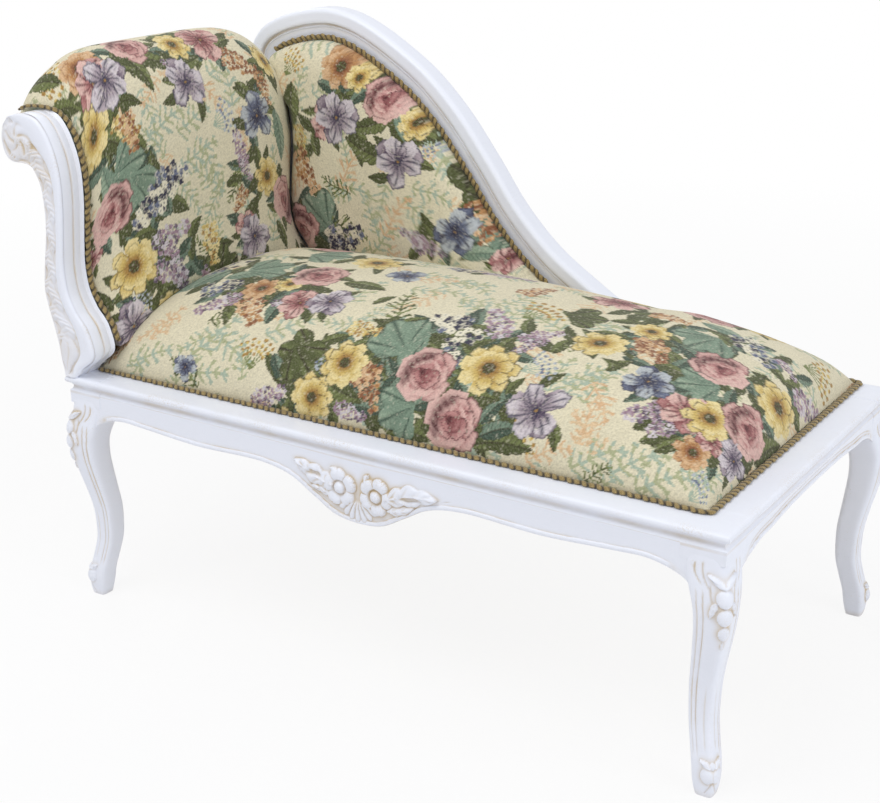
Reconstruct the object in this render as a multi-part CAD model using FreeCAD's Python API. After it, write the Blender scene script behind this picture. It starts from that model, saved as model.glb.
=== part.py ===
import FreeCAD, Part
import math
import os

# Small carved and painted chaise longue: a long crowned seat on four cabriole legs,
# a rolled head end between two scrolled uprights, and one sloping padded back.
# Millimetres, +Z up, +X towards the foot end, the front is at -Y.
# The origin is on the floor under the middle of the whole chaise.

# Seat frame
frame_length = 1100.0        # outside of the head rail to outside of the foot rail
frame_width = 610.0          # outside of the front rail to outside of the rear rail
frame_height = 373.0         # floor to the flat top of the seat frame
rail_height = 58.0           # top of a plain rail to its lower edge
rail_body = 32.0             # thickness of a rail below its top flange
flange_height = 22.0         # thickness of the top flange that carries the upholstery
face_inset = 5.0             # rail face, back from the nose
nose_height = 11.0           # thin rounded nose along the top edge
nose_round = 5.5
cove_height = 12.0           # hollow under the nose
cove_hollow = 4.0
bead_height = 7.0            # raised bead along a rail's lower edge
bead_proud = 2.5
apron_drop = 60.0            # how far the carved apron hangs below the plain rail
short_arch = 18.0            # how far a short rail's lower edge rises between the legs

# Upholstery margins on the seat frame
show_margin = 41.0           # bare wood between the nose and the braid
braid_width = 11.0
braid_height = 4.5
braid_clear = 2.0            # between the braid of the back and its pad
rebate_width = 14.0          # step along the inner edge for webbing and hessian
rebate_depth = 6.0
rear_margin = 2.5            # bare wood behind the braid on the rear rail
fit_gap = 0.3                # between soft pieces and what they lie against
wood_gap = 0.2               # round tenons

# Joints of the seat frame
tenon_thickness = 12.0
tenon_setback = 16.0         # outer face of the frame to the tenon
tenon_height = 36.0
tenon_below_top = 15.0
tenon_length = 26.0
block_leg = 64.0             # glued length of a corner block along each rail
block_height = 26.0
peg_length = 13.0            # tenons of the uprights and of the frames above the seat
peg_thickness = 10.0
peg_width = 26.0

# Cabriole legs
knee_proud = 4.0             # knee outside the seat frame
knee_side = 51.0
ankle_inset = 18.0           # outer ridge of the ankle inside the frame's corner
arris_cant = 3.0             # flat along the outer ridge, in from the sharp corner

# Head end
volute_overhang = 88.0       # scroll of an upright outside the head rail
upright_height = 400.0       # seat frame top to the crest of the scroll
upright_span = 155.0         # scroll to toe, along the chaise
upright_depth = 48.0         # front to rear thickness of an upright
upright_foot = 23.0          # glued foot of an upright on the leg post
edge_chamfer = 3.0
panel_depth = 2.5            # sunk panel in the face of an upright
panel_border = 9.0
side_groove = 5.0
volute_radius = 27.0
volute_proud = 3.0
head_rail_thickness = 24.0
head_top_rail_height = 45.0
head_top_rail_arch = 88.0
head_top_rail_below = 83.0   # crest of the scroll down to the lower edge of the top rail
head_lower_rail_thickness = 16.0
head_lower_rail_height = 40.0
head_lower_rail_lift = 19.0

# Back
back_length = 835.0
back_rise = 502.0
back_start = 15.0            # outer end of the back rail, in from the scroll
back_rail_width = 55.0
back_rail_depth = 41.0
back_setback = 5.0           # rear face of the back rail, in from the frame
back_step = 24.0             # outer rounded band of the back rail
back_step_depth = 4.0
back_rebate_width = 8.0
back_rebate_depth = 3.0
back_seat_drop = 8.0         # flat seat for the back rail, cut below the crest
back_crown = 60.0            # how far the back pad stands forward of its webbing
back_lower_rail_height = 36.0
back_post_width = 40.0
back_post_thickness = 20.0
back_post_place_share = 0.41

# Upholstery
seat_crown = 145.0           # top of the seat above the frame
seat_head_inset = 26.0       # seat pad, in from the head rail
seat_bend = 68.0             # length over which the seat widens past the back rail's tail
bend_room = 25.0             # no other section of the seat is nearer to that bend
cover_thickness = 2.0
strap_width = 50.0
strap_thickness = 2.0
strap_spacing = 88.0
strap_hold = 35.0            # length of strap on the face of a rail
hessian_thickness = 1.2
outside_thickness = 1.2
outside_inset = 24.0         # bare wood round the outside back cover
outside_sink = 6.0           # outside head cover, in from the outer edge of the uprights
overrun = 20.0               # cutters run past what they cut

# Carving, standing proud of the faces it is cut from
blossom_radius = 16.0
blossom_height = 5.0
blossom_eye = 5.0
eye_proud = 2.0
blossom_spread = 65.0        # between the two blossoms of the apron
blossom_lift = 49.0          # above the lowest point of the apron
shell_radius = 31.0
shell_height = 3.5
leaf_length = 62.0
leaf_width = 20.0
leaf_height = 4.0
leaf_rise = 20.0             # of its tip above its root
drop_length = 74.0
drop_width = 13.0
drop_height = 2.5
drop_below = 3.0             # top of the drop, below the rails

x_scroll = -(frame_length + volute_overhang + knee_proud) / 2
x_head = x_scroll + volute_overhang
x_foot = x_head + frame_length
x_middle = (x_head + x_foot) / 2
y_front = -frame_width / 2
y_rear = frame_width / 2
flange_width = show_margin + braid_width + rebate_width
post_side = flange_width
pad_inset = show_margin + braid_width + fit_gap
z_top = frame_height
z_rail_low = frame_height - rail_height
z_crest = frame_height + upright_height
y_upright = frame_width / 2 - upright_depth
body_depth = face_inset + rail_body


def vec(x, y, z):
    return FreeCAD.Vector(x, y, z)


def block(x0, x1, y0, y1, z0, z1):
    return Part.makeBox(x1 - x0, y1 - y0, z1 - z0, vec(x0, y0, z0))


def line(a, b):
    return Part.LineSegment(a, b).toShape()


def arc(a, b, c):
    return Part.Arc(a, b, c).toShape()


def arc_chain(points):
    # one arc through each three points, the last of one being the first of the next
    return [arc(*points[i:i + 3]) for i in range(0, len(points) - 2, 2)]


def on_plane(points, y):
    return [vec(x, y, z) for x, z in points]


def inset(points, distance):
    # moves each point of an open line to its right hand side, square to the line there
    moved = []
    for i, (x, z) in enumerate(points):
        ax, az = points[max(i - 1, 0)]
        bx, bz = points[min(i + 1, len(points) - 1)]
        length = math.hypot(bx - ax, bz - az)
        moved.append((x + distance * (bz - az) / length, z - distance * (bx - ax) / length))
    return moved


def outline(points):
    # a closed outline of straight edges
    return [line(a, b) for a, b in zip(points, points[1:] + points[:1])]


def prism(edges, direction):
    return Part.Face(Part.Wire(edges)).extrude(direction)


def ribbon(points, near, far, y0, y1):
    # the strip between two parallels of an open line, with a thickness along Y
    first = on_plane(inset(points, near), y0)
    second = on_plane(inset(points, far), y0)
    edges = arc_chain(first) + [line(first[-1], second[-1])]
    edges += arc_chain(second[::-1]) + [line(second[0], first[0])]
    return prism(edges, vec(0, y1 - y0, 0))


def mirrored(shape):
    return shape.mirror(vec(0, 0, 0), vec(0, 1, 0))


# Seat frame rails

def rail_profile(low, flanged, bead):
    # section of a rail or post: u runs inwards from the nose, z is up
    nose_low = z_top - nose_height
    cove_low = nose_low - cove_height
    flange_low = z_top - flange_height
    points = [(post_side, low), (post_side, z_top)]
    if flanged:
        points = [(body_depth, low), (body_depth, flange_low), (flange_width, flange_low),
                  (flange_width, z_top - rebate_depth),
                  (flange_width - rebate_width, z_top - rebate_depth),
                  (flange_width - rebate_width, z_top)]
    points += [(nose_round, z_top)]
    steps = [(face_inset, low)]
    if bead:
        steps = [(face_inset, low + bead_height), (face_inset - bead_proud, low + bead_height),
                 (face_inset - bead_proud, low)]

    def place(point):
        return vec(0, point[0], point[1])

    edges = [line(place(a), place(b)) for a, b in zip(points, points[1:])]
    edges.append(arc(place(points[-1]), place((0, z_top - nose_height / 2)),
                     place((nose_round, nose_low))))
    edges.append(arc(place((nose_round, nose_low)),
                     place((face_inset + cove_hollow, nose_low - cove_height / 2)),
                     place((face_inset, cove_low))))
    steps = [(face_inset, cove_low)] + steps + [points[0]]
    edges += [line(place(a), place(b)) for a, b in zip(steps, steps[1:])]
    return Part.Face(Part.Wire(edges))


def tenon(x0, x1, gap):
    return block(x0, x1, tenon_setback - gap, tenon_setback + tenon_thickness + gap,
                 z_top - tenon_below_top - tenon_height - gap, z_top - tenon_below_top + gap)


def straight_rail(length, low, bead=True):
    # lies along X from 0 to length, outer face towards -Y, with a tenon at each end
    rail = rail_profile(low, True, bead).extrude(vec(length, 0, 0))
    return rail.fuse([tenon(-tenon_length, 0, 0), tenon(length, length + tenon_length, 0)])


# half of the front rail's lower edge: distance from its middle, and depth of the apron
apron_shares = [(0.0, 1.0), (0.08, 0.92), (0.158, 0.56), (0.24, 0.21), (0.34, 0.05),
                (0.60, 0.09), (0.84, 0.0), (1.0, 0.08)]


# half of a short rail's lower edge: distance from its middle, and height of the arch
arch_shares = [(0.0, 1.0), (0.40, 0.90), (0.72, 0.52), (1.0, 0.0)]


def lower_line(length, shares, rise):
    half = length / 2
    right = [(half + s * half, z_rail_low + z * rise) for s, z in shares]
    left = [(half - s * half, z_rail_low + z * rise) for s, z in shares[:0:-1]]
    return left + right


# outline of a carved leaf, along its length and across
leaf_shares = [(0.0, 0.0), (0.12, 0.34), (0.26, 0.38), (0.34, 0.22), (0.46, 0.50), (0.58, 0.46),
               (0.66, 0.24), (0.82, 0.30), (1.0, 0.10), (0.80, -0.08), (0.62, -0.18),
               (0.50, -0.44), (0.38, -0.50), (0.28, -0.22), (0.12, -0.32)]


# reach of one petal, from the valley before it, as shares of the radius
petal_shares = [0.70, 0.94, 1.0, 0.94]


def petals(x, z, radius, lobes, start, sweep):
    # rounded petals in a row round a centre
    count = lobes * len(petal_shares)
    points = []
    for i in range(count):
        angle = start + sweep * i / count
        reach = radius * petal_shares[i % len(petal_shares)]
        points.append(vec(x + reach * math.cos(angle), 0, z + reach * math.sin(angle)))
    return points


def apron_carving(middle):
    # two blossoms side by side, a reeded shell between and below them, and a leaf each side
    z = z_rail_low - apron_drop + blossom_lift
    shell = petals(middle, z, shell_radius, 5, -math.pi, math.pi)
    carved = [prism(outline(shell), vec(0, -shell_height, 0))]
    for side in (-1, 1):
        x = middle + side * blossom_spread / 2
        blossom = petals(x, z, blossom_radius, 5, math.pi / 2, 2 * math.pi)
        carved.append(prism(outline(blossom), vec(0, -blossom_height, 0)))
        carved.append(Part.makeCylinder(blossom_eye, blossom_height + eye_proud, vec(x, 0, z),
                                        vec(0, -1, 0)))
        root = x + side * blossom_radius
        points = []
        for along, across in leaf_shares:
            lift = z + along * leaf_rise + across * leaf_width
            points.append(vec(root + side * along * leaf_length, 0, lift))
        carved.append(prism(outline(points), vec(0, -leaf_height, 0)))
    for shape in carved:
        shape.translate(vec(0, face_inset, 0))
    return carved


def shaped_rail(length, lower, carved):
    # a rail sawn to a curved lower edge, with its bead along the curve and its carving
    lowest = min(z for _, z in lower) - overrun
    blank = straight_rail(length, lowest, False)
    lower_points = on_plane(lower, -overrun)
    bottom = lowest - overrun
    corners = [lower_points[-1], vec(length, -overrun, bottom), vec(0, -overrun, bottom),
               lower_points[0]]
    edges = arc_chain(lower_points) + [line(a, b) for a, b in zip(corners, corners[1:])]
    waste = prism(edges, vec(0, flange_width + 2 * overrun, 0))
    edge_bead = ribbon(lower, 0, -bead_height, face_inset - bead_proud, face_inset)
    edge_bead = edge_bead.common(block(0, length, 0, face_inset, 0, z_top))
    return blank.cut(waste).fuse([edge_bead] + carved)


def front_rail_shape(length):
    lower = lower_line(length, apron_shares, -apron_drop)
    return shaped_rail(length, lower, apron_carving(length / 2))


def short_rail_shape(length):
    return shaped_rail(length, lower_line(length, arch_shares, short_arch), [])


def placed(shape, x, y, turn):
    out = shape.copy()
    out.rotate(vec(0, 0, 0), vec(0, 0, 1), turn)
    out.translate(vec(x, y, 0))
    return out


long_clear = frame_length - 2 * post_side
short_clear = frame_width - 2 * post_side
quarter_turn = 90
half_turn = 180

front_rail = placed(front_rail_shape(long_clear), x_head + post_side, y_front, 0)
rear_rail = placed(straight_rail(long_clear, z_rail_low), x_foot - post_side, y_rear, half_turn)
foot_rail = placed(short_rail_shape(short_clear), x_foot, y_front + post_side, quarter_turn)
head_rail = placed(short_rail_shape(short_clear), x_head, y_rear - post_side, -quarter_turn)


# Legs: each is a post at the frame's corner and a cabriole leg under it, made for a corner
# at the origin with the frame towards +X and +Y

# height, inset of the outer ridge, and side, from the rail down to the floor
leg_shares = [(1.0, 0.10, 1.16), (0.85, -0.23, 0.99), (0.66, 0.25, 0.84), (0.48, 0.86, 0.73),
              (0.31, 0.94, 0.67), (0.14, 0.36, 0.66), (0.0, 0.42, 0.48)]


def sawn_leg():
    # the same curved pattern is sawn on two neighbouring faces, then the outer ridge is canted
    outer = [vec(ridge * ankle_inset, 0, z * z_rail_low) for z, ridge, side in leg_shares]
    inner = [vec(ridge * ankle_inset + side * knee_side, 0, z * z_rail_low)
             for z, ridge, side in leg_shares[::-1]]
    edges = arc_chain(outer) + [line(outer[-1], inner[0])]
    edges += arc_chain(inner) + [line(inner[-1], outer[0])]
    first = prism(edges, vec(0, knee_side + 2 * overrun, 0))
    first.translate(vec(0, -overrun, 0))
    second = mirrored(first)
    second.rotate(vec(0, 0, 0), vec(0, 0, 1), quarter_turn)
    ridge_line = [vec(p.x * math.sqrt(2) + arris_cant, 0, p.z) for p in outer]
    far = (ankle_inset + 2 * knee_side) * math.sqrt(2)
    corners = [ridge_line[-1], vec(far, 0, 0), vec(far, 0, z_rail_low), ridge_line[0]]
    edges = arc_chain(ridge_line) + [line(a, b) for a, b in zip(corners, corners[1:])]
    cant = prism(edges, vec(0, 4 * knee_side, 0))
    cant.translate(vec(0, -2 * knee_side, 0))
    cant.rotate(vec(0, 0, 0), vec(0, 0, 1), quarter_turn / 2)
    return first.common(second).common(cant)


# half outline of the carved drop on a knee, from its tip up: across, and height
drop_shares = [(0.0, 0.0), (0.5, 0.12), (0.25, 0.25), (0.75, 0.32), (0.75, 0.42), (0.35, 0.50),
               (0.95, 0.57), (0.95, 0.66), (0.42, 0.74), (1.0, 0.84), (0.7, 0.96), (0.0, 1.0)]


def knee_drop():
    # the outline is cut through a strip that follows the canted ridge, then turned to it
    z0 = z_rail_low - drop_below - drop_length
    half = drop_width / 2
    side = [vec(-drop_width, s * half, z0 + z * drop_length) for s, z in drop_shares]
    other = [vec(p.x, -p.y, p.z) for p in side[-2:0:-1]]
    carved = prism(outline(side + other), vec(4 * drop_width, 0, 0))
    ridge = [vec(share * ankle_inset * math.sqrt(2) + arris_cant - drop_height, -half, z * z_rail_low)
             for z, share, _ in leg_shares[:3]]
    inner = [p + vec(drop_width, 0, 0) for p in ridge[::-1]]
    drop = prism(outline(ridge + inner), vec(0, drop_width, 0)).common(carved)
    drop.rotate(vec(0, 0, 0), vec(0, 0, 1), quarter_turn / 2)
    return drop


def leg_shape():
    # the moulding turns the corner in a mitre
    along_x = rail_profile(z_rail_low, False, False).extrude(vec(post_side, 0, 0))
    along_y = mirrored(along_x)
    along_y.rotate(vec(0, 0, 0), vec(0, 0, 1), quarter_turn)
    post = along_x.common(along_y)
    mortise_x = tenon(post_side - tenon_length - wood_gap, post_side + overrun, wood_gap)
    mortise_y = mirrored(mortise_x)
    mortise_y.rotate(vec(0, 0, 0), vec(0, 0, 1), quarter_turn)
    post = post.cut([mortise_x, mortise_y])
    return post.fuse([sawn_leg(), knee_drop()]).removeSplitter()


def corner_place(shape, at_foot, at_rear):
    out = shape.copy()
    if at_foot:
        out = out.mirror(vec(0, 0, 0), vec(1, 0, 0))
    if at_rear:
        out = mirrored(out)
    out.translate(vec(x_foot if at_foot else x_head, y_rear if at_rear else y_front, 0))
    return out


corner_leg = leg_shape()
legs = {"front_head_leg": corner_place(corner_leg, False, False),
        "rear_head_leg": corner_place(corner_leg, False, True),
        "front_foot_leg": corner_place(corner_leg, True, False),
        "rear_foot_leg": corner_place(corner_leg, True, True)}

# Corner blocks, notched round the posts, each glued to its post and two rails

def corner_block():
    near = body_depth
    far = post_side + block_leg
    z0 = z_top - flange_height - block_height
    plan = [(post_side, near), (far, near), (near, far), (near, post_side),
            (post_side, post_side)]
    return prism(outline([vec(x, y, z0) for x, y in plan]), vec(0, 0, block_height))


corners = [(False, False), (False, True), (True, False), (True, True)]
corner_blocks = [corner_place(corner_block(), *corner) for corner in corners]


# Head end: two scrolled uprights joined by an arched top rail and a lower rail

# outline of an upright from its outer foot up round the scroll, then its inner edge from the
# crest down to the toe: along from the scroll, and height above the seat frame
upright_outer_shares = [(0.51, 0.12), (0.452, 0.235), (0.387, 0.3325), (0.432, 0.4525),
                        (0.49, 0.6275), (0.461, 0.74), (0.375, 0.80), (0.135, 0.8125),
                        (0.026, 0.835), (0.0, 0.8925), (0.065, 0.9475)]
upright_inner_shares = [(0.206, 1.0), (0.445, 0.9925), (0.619, 0.9325), (0.716, 0.8275),
                        (0.742, 0.6975), (0.703, 0.545), (0.677, 0.39), (0.725, 0.305),
                        (0.86, 0.235), (0.955, 0.18), (1.0, 0.10)]
volute_eye_share = (0.226, 0.90)


def upright_place(x_share, z_share):
    return x_scroll + x_share * upright_span, z_top + z_share * upright_height


inner_edge = [upright_place(x, z) for x, z in upright_inner_shares]
upright_line = [(x_head, z_top)] + [upright_place(x, z) for x, z in upright_outer_shares]
upright_line += inner_edge


def upright_shape():
    y0 = y_front
    points = on_plane(upright_line, y0)
    foot_end = vec(x_head + upright_foot, y0, z_top)
    edges = arc_chain(points) + [line(points[-1], foot_end), line(foot_end, points[0])]
    body = prism(edges, vec(0, upright_depth, 0))
    # groove down the inner side, and a sunk panel along the front
    inner_side = inner_edge[2:]
    middle = y0 + upright_depth / 2
    body = body.cut(ribbon(inner_side, -overrun, panel_depth, middle - side_groove / 2,
                           middle + side_groove / 2))
    outer_side = upright_line[:7]
    sunk = ribbon(outer_side, panel_border, 2 * panel_border, y0 - overrun, y0 + panel_depth)
    body = body.cut(sunk)
    eye_x, eye_z = upright_place(*volute_eye_share)
    boss = Part.makeCylinder(volute_radius, volute_proud, vec(eye_x, y0, eye_z), vec(0, -1, 0))
    return body.fuse(boss)


def peg(x, y, z, size_x, size_y, size_z, gap):
    # a square tenon, or with a gap the mortise round it, centred on a point
    return block(x - size_x / 2 - gap, x + size_x / 2 + gap, y - size_y / 2 - gap,
                 y + size_y / 2 + gap, z - size_z / 2 - gap, z + size_z / 2 + gap)


def foot_peg(gap):
    return peg(x_head + upright_foot / 2, y_front + upright_depth / 2, z_top, peg_thickness,
               peg_width, 2 * peg_length, gap)


front_head_upright = upright_shape().fuse(foot_peg(0))
front_peg_hole = foot_peg(wood_gap)
legs["front_head_leg"] = legs["front_head_leg"].cut(front_peg_hole)
legs["rear_head_leg"] = legs["rear_head_leg"].cut(mirrored(front_peg_hole))
rear_head_upright = mirrored(front_head_upright)
rear_head_upright = rear_head_upright.cut(
    block(x_scroll - overrun, x_middle, 0, y_rear + overrun, z_crest - back_seat_drop,
          z_crest + overrun))

x_web_top = upright_place(0.542, 0)[0]
x_web_low = x_web_top + head_rail_thickness
z_top_rail = z_crest - head_top_rail_below
z_low_rail = z_top + head_lower_rail_lift
z_low_rail_top = z_low_rail + head_lower_rail_height


def head_rail_pegs(gap):
    # both ends of the top rail and of the lower rail, right through into the uprights
    reach = 2 * (y_upright + peg_length)
    top = peg(x_web_top - head_rail_thickness / 2, 0, z_top_rail + head_top_rail_height / 2,
              peg_thickness, reach, peg_width, gap)
    low = peg(x_web_low - head_lower_rail_thickness / 2, 0, z_low_rail + head_lower_rail_height / 2,
              peg_thickness, reach, peg_width, gap)
    return top, low


def head_top_rail_shape(gap):
    # the arched rail, or with a gap the room that the head pad leaves round it
    x0 = x_web_top - head_rail_thickness - gap
    z0 = z_top_rail - gap
    z1 = z_top_rail + head_top_rail_height + gap
    ends = [vec(x0, -y_upright, z1), vec(x0, 0, z1 + head_top_rail_arch), vec(x0, y_upright, z1)]
    low = [vec(x0, y_upright, z0), vec(x0, -y_upright, z0)]
    edges = [arc(*ends), line(ends[2], low[0]), line(low[0], low[1]), line(low[1], ends[0])]
    return prism(edges, vec(head_rail_thickness + 2 * gap, 0, 0))


top_pegs, low_pegs = head_rail_pegs(0)
head_top_rail = head_top_rail_shape(0).fuse(top_pegs)
head_lower_rail = block(x_web_low - head_lower_rail_thickness, x_web_low, -y_upright, y_upright,
                        z_low_rail, z_low_rail_top).fuse(low_pegs)
peg_holes = list(head_rail_pegs(wood_gap))
front_head_upright = front_head_upright.cut(peg_holes)
rear_head_upright = rear_head_upright.cut(peg_holes)

# Back: one sweeping top rail from the rear scroll down to the rear seat rail, a lower rail
# and a post

# outer edge of the back rail from the scroll to its foot: along, and height above the frame
back_shares = [(0.0, 0.781), (0.010, 0.866), (0.035, 0.918), (0.065, 0.948), (0.105, 0.973),
               (0.158, 0.993), (0.21, 1.0), (0.262, 0.987), (0.318, 0.951), (0.378, 0.896),
               (0.446, 0.82), (0.52, 0.703), (0.59, 0.557), (0.66, 0.40), (0.735, 0.278),
               (0.82, 0.183), (0.91, 0.092), (1.0, 0.0), (1.04, -0.042)]
x_back = x_scroll + back_start
back_line = [(x_back + x * back_length, z_top + z * back_rise) for x, z in back_shares]
y_back_rear = y_rear - back_setback
y_back_front = y_back_rear - back_rail_depth
y_back_middle = (y_back_front + y_back_rear) / 2
y_web_back = y_back_front + back_step_depth + back_rebate_depth
x_back_foot = x_back + back_length - back_rail_width


def back_pegs(gap):
    # into the rear upright's crest, and into the rear seat rail
    crest = peg(x_back + back_rail_width / 2, y_back_middle, z_crest - back_seat_drop, peg_width,
                peg_thickness, 2 * peg_length, gap)
    foot = peg(x_back_foot, y_back_middle, z_top, peg_width, peg_thickness, 2 * peg_length, gap)
    return crest, foot


def back_rail_shape():
    rail = ribbon(back_line, 0, back_rail_width, y_back_front, y_back_rear)
    step = ribbon(back_line, back_step, back_rail_width + overrun, y_back_front - overrun,
                  y_back_front + back_step_depth)
    rebate = ribbon(back_line, back_rail_width - back_rebate_width, back_rail_width + overrun,
                    y_back_front - overrun, y_web_back)
    below = block(x_scroll, x_foot, 0, y_rear, 0, z_top)
    under_crest = block(x_scroll - overrun, x_head + upright_foot, 0, y_rear, z_top,
                        z_crest - back_seat_drop)
    return rail.cut([step, rebate, below, under_crest]).fuse(list(back_pegs(0)))


def inside_back(distance, clear, y0, y1):
    # everything further in than a distance from the back rail's outer edge, clear of the frame
    points = on_plane(inset(back_line, distance), y0)
    corner = vec(points[0].x, y0, points[-1].z)
    edges = arc_chain(points) + [line(points[-1], corner), line(corner, points[0])]
    above = block(x_scroll, x_foot, y0, y1, z_top + clear, z_top + back_rise)
    return prism(edges, vec(0, y1 - y0, 0)).common(above)


back_top_rail = back_rail_shape()
crest_hole, foot_hole = back_pegs(wood_gap)
rear_head_upright = rear_head_upright.cut(crest_hole)
rear_rail = rear_rail.cut(foot_hole)
z_back_low = z_top + back_lower_rail_height
x_toe = inner_edge[-1][0]
back_lower_rail = block(x_toe + fit_gap, x_foot, y_web_back, y_back_rear, z_top, z_back_low)
under_rail = inside_back(back_rail_width + wood_gap, 0, y_web_back, y_back_rear)
back_lower_rail = back_lower_rail.common(under_rail)
x_post = x_back + back_post_place_share * back_length
post_blank = block(x_post - back_post_width / 2, x_post + back_post_width / 2, y_web_back,
                   y_web_back + back_post_thickness, z_back_low, z_top + back_rise)


def post_peg(gap):
    return peg(x_post, y_web_back + back_post_thickness / 2, z_back_low, peg_width,
               peg_thickness, 2 * peg_length, gap)


back_post = post_blank.common(under_rail).fuse(post_peg(0))
back_lower_rail = back_lower_rail.cut(post_peg(wood_gap))


# Upholstery forms: a cover is a closed ruled form through flat sections. The foam inside it
# is a plainer form of flat facets, open towards the frame that it is built on.

def form(sections):
    return Part.makeLoft([Part.Wire(outline(points)) for points in sections], True, True)


def facet(points):
    return Part.Face(Part.makePolygon(points + points[:1]))


def facet_form(sections):
    faces = [facet(sections[0]), facet(sections[-1])]
    for near, far in zip(sections, sections[1:]):
        for i, corner in enumerate(near):
            after = (i + 1) % len(near)
            faces.append(facet([corner, near[after], far[after]]))
            faces.append(facet([corner, far[after], far[i]]))
    solid = Part.Solid(Part.makeShell(faces))
    return solid if solid.Volume > 0 else solid.reversed()


# Seat: place along, and height there
seat_height_shares = [(0.0, 0.15), (0.025, 0.56), (0.075, 0.86), (0.22, 0.98), (0.55, 1.0),
                      (0.733, 0.91), (0.80, 0.84), (0.90, 0.69), (0.965, 0.51), (0.993, 0.28),
                      (1.0, 0.12)]
seat_steps = 14
seat_foam_steps = 10
seat_fullness_share = 0.8    # one makes a half ellipse, less makes steeper shoulders
x_seat_head = x_head + seat_head_inset
x_seat_foot = x_foot - pad_inset
x_tail = x_back + back_length + braid_width
y_seat_front = y_front + pad_inset
y_seat_rear = y_rear - rear_margin - braid_width - fit_gap
y_seat_narrow = y_back_front - fit_gap
z_seat = z_top + fit_gap


def seat_height(share):
    for (a, low), (b, high) in zip(seat_height_shares, seat_height_shares[1:]):
        if share <= b:
            return low + (high - low) * (share - a) / (b - a)
    return seat_height_shares[-1][1]


def seat_places():
    # shares along the seat, with the bend of its rear edge past the tail of the back rail
    length = x_seat_foot - x_seat_head
    bend = [(x_tail - x_seat_head) / length, (x_tail + seat_bend - x_seat_head) / length]
    room = bend_room / length
    fixed = [share for share, _ in seat_height_shares
             if share in (0.0, 1.0) or share < bend[0] - room or share > bend[1] + room]
    return sorted(fixed + [share for share in bend if share < 1 - room])


def seat_sections(places, steps, smaller):
    # across, a section is a half ellipse with full shoulders: its height is a sine and its
    # breadth a cosine raised to the fullness
    sections = []
    for share in places:
        x = x_seat_head + share * (x_seat_foot - x_seat_head)
        outward = min(max((x - x_tail) / seat_bend, 0), 1)
        x += math.copysign(smaller, 1 - 2 * share) if share in (0.0, 1.0) else 0
        rear = y_seat_narrow + outward * (y_seat_rear - y_seat_narrow)
        half = (rear - y_seat_front) / 2 - smaller
        middle = (y_seat_front + rear) / 2
        tall = seat_height(share) * seat_crown - smaller
        points = []
        for step in range(steps + 1):
            angle = math.pi * step / steps
            across = abs(math.cos(angle)) ** seat_fullness_share
            y = middle - math.copysign(across * half, math.cos(angle))
            points.append(vec(x, y, z_seat + math.sin(angle) * tall))
        sections.append(points)
    return sections


def seat_core(smaller):
    return facet_form(seat_sections(seat_places()[1:-1], seat_foam_steps, smaller))


foam_inset = 2 * cover_thickness
seat_outer = form(seat_sections(seat_places(), seat_steps, 0))
seat_grown = form(seat_sections(seat_places(), seat_steps, -fit_gap))
seat_room = facet_form(seat_sections(seat_places(), seat_foam_steps, -2 * foam_inset))
seat_foam = seat_core(foam_inset)
seat_cover = seat_outer.cut(seat_core(foam_inset - fit_gap))

# Head pad: its outline beside an upright and in the middle, from the front foot up over the
# roll and down behind, as shares of the upright's span and height
head_edge_shares = [(0.987, 0.105), (0.903, 0.2075), (0.729, 0.295), (0.6645, 0.39),
                    (0.69, 0.545), (0.729, 0.6975), (0.703, 0.8275), (0.606, 0.9325),
                    (0.432, 0.9925), (0.1935, 1.0), (0.0387, 0.9475), (0.013, 0.8925),
                    (0.1355, 0.83), (0.36, 0.8225), (0.4645, 0.76), (0.542, 0.1475),
                    (0.684, 0.105)]
head_crown_shares = [(1.058, 0.1425), (1.071, 0.2675), (1.058, 0.3675), (1.032, 0.4675),
                     (1.019, 0.5925), (1.006, 0.7425), (0.955, 0.9175), (0.80, 1.08),
                     (0.542, 1.18), (0.31, 1.2), (0.071, 1.1675), (0.013, 1.08),
                     (0.0516, 0.9675), (0.232, 0.855), (0.426, 0.7925), (0.542, 0.1475),
                     (0.684, 0.105)]
head_place_shares = [-1.0, -0.97, -0.88, -0.65, 0.0, 0.5, 0.78, 0.93, 1.0]
head_foam_place_shares = [-1.0, -0.88, -0.65, 0.0, 0.5, 0.78, 1.0]
head_front_fullness_share = 8.0    # power of the crown's fall towards each upright: the pad
head_rear_fullness_share = 3.2     # stands up sharply at the front and slopes at the rear
head_pad_half = y_upright - braid_width - fit_gap


def head_sections(places, smaller):
    sections = []
    for share in places:
        fullness = head_front_fullness_share if share < 0 else head_rear_fullness_share
        crown = 1 - abs(share) ** fullness
        points = []
        for edge, middle in zip(head_edge_shares, head_crown_shares):
            along = edge[0] + crown * (middle[0] - edge[0])
            points.append(upright_place(along, edge[1] + crown * (middle[1] - edge[1])))
        sections.append(on_plane(inset(points, -smaller), share * (head_pad_half - smaller)))
    return sections


def head_core(smaller):
    return facet_form(head_sections(head_foam_place_shares, smaller))


def head_room():
    # the arched rail, its straps, and everything behind the webbing below the rail
    y0 = -y_upright
    front_low = x_web_low + strap_thickness + fit_gap
    front_top = x_web_top + strap_thickness + fit_gap
    plan = [(front_low, z_top), (front_low, z_low_rail_top), (front_top, z_top_rail - fit_gap),
            (x_scroll - overrun, z_top_rail - fit_gap), (x_scroll - overrun, z_top)]
    behind = prism(outline(on_plane(plan, y0)), vec(0, 2 * y_upright, 0))
    strap_room = block(x_web_top - fit_gap, front_top, y0, y_upright, z_top_rail - 2 * fit_gap,
                       z_top_rail + strap_hold + fit_gap)
    return [behind, strap_room, head_top_rail_shape(fit_gap)]


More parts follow.
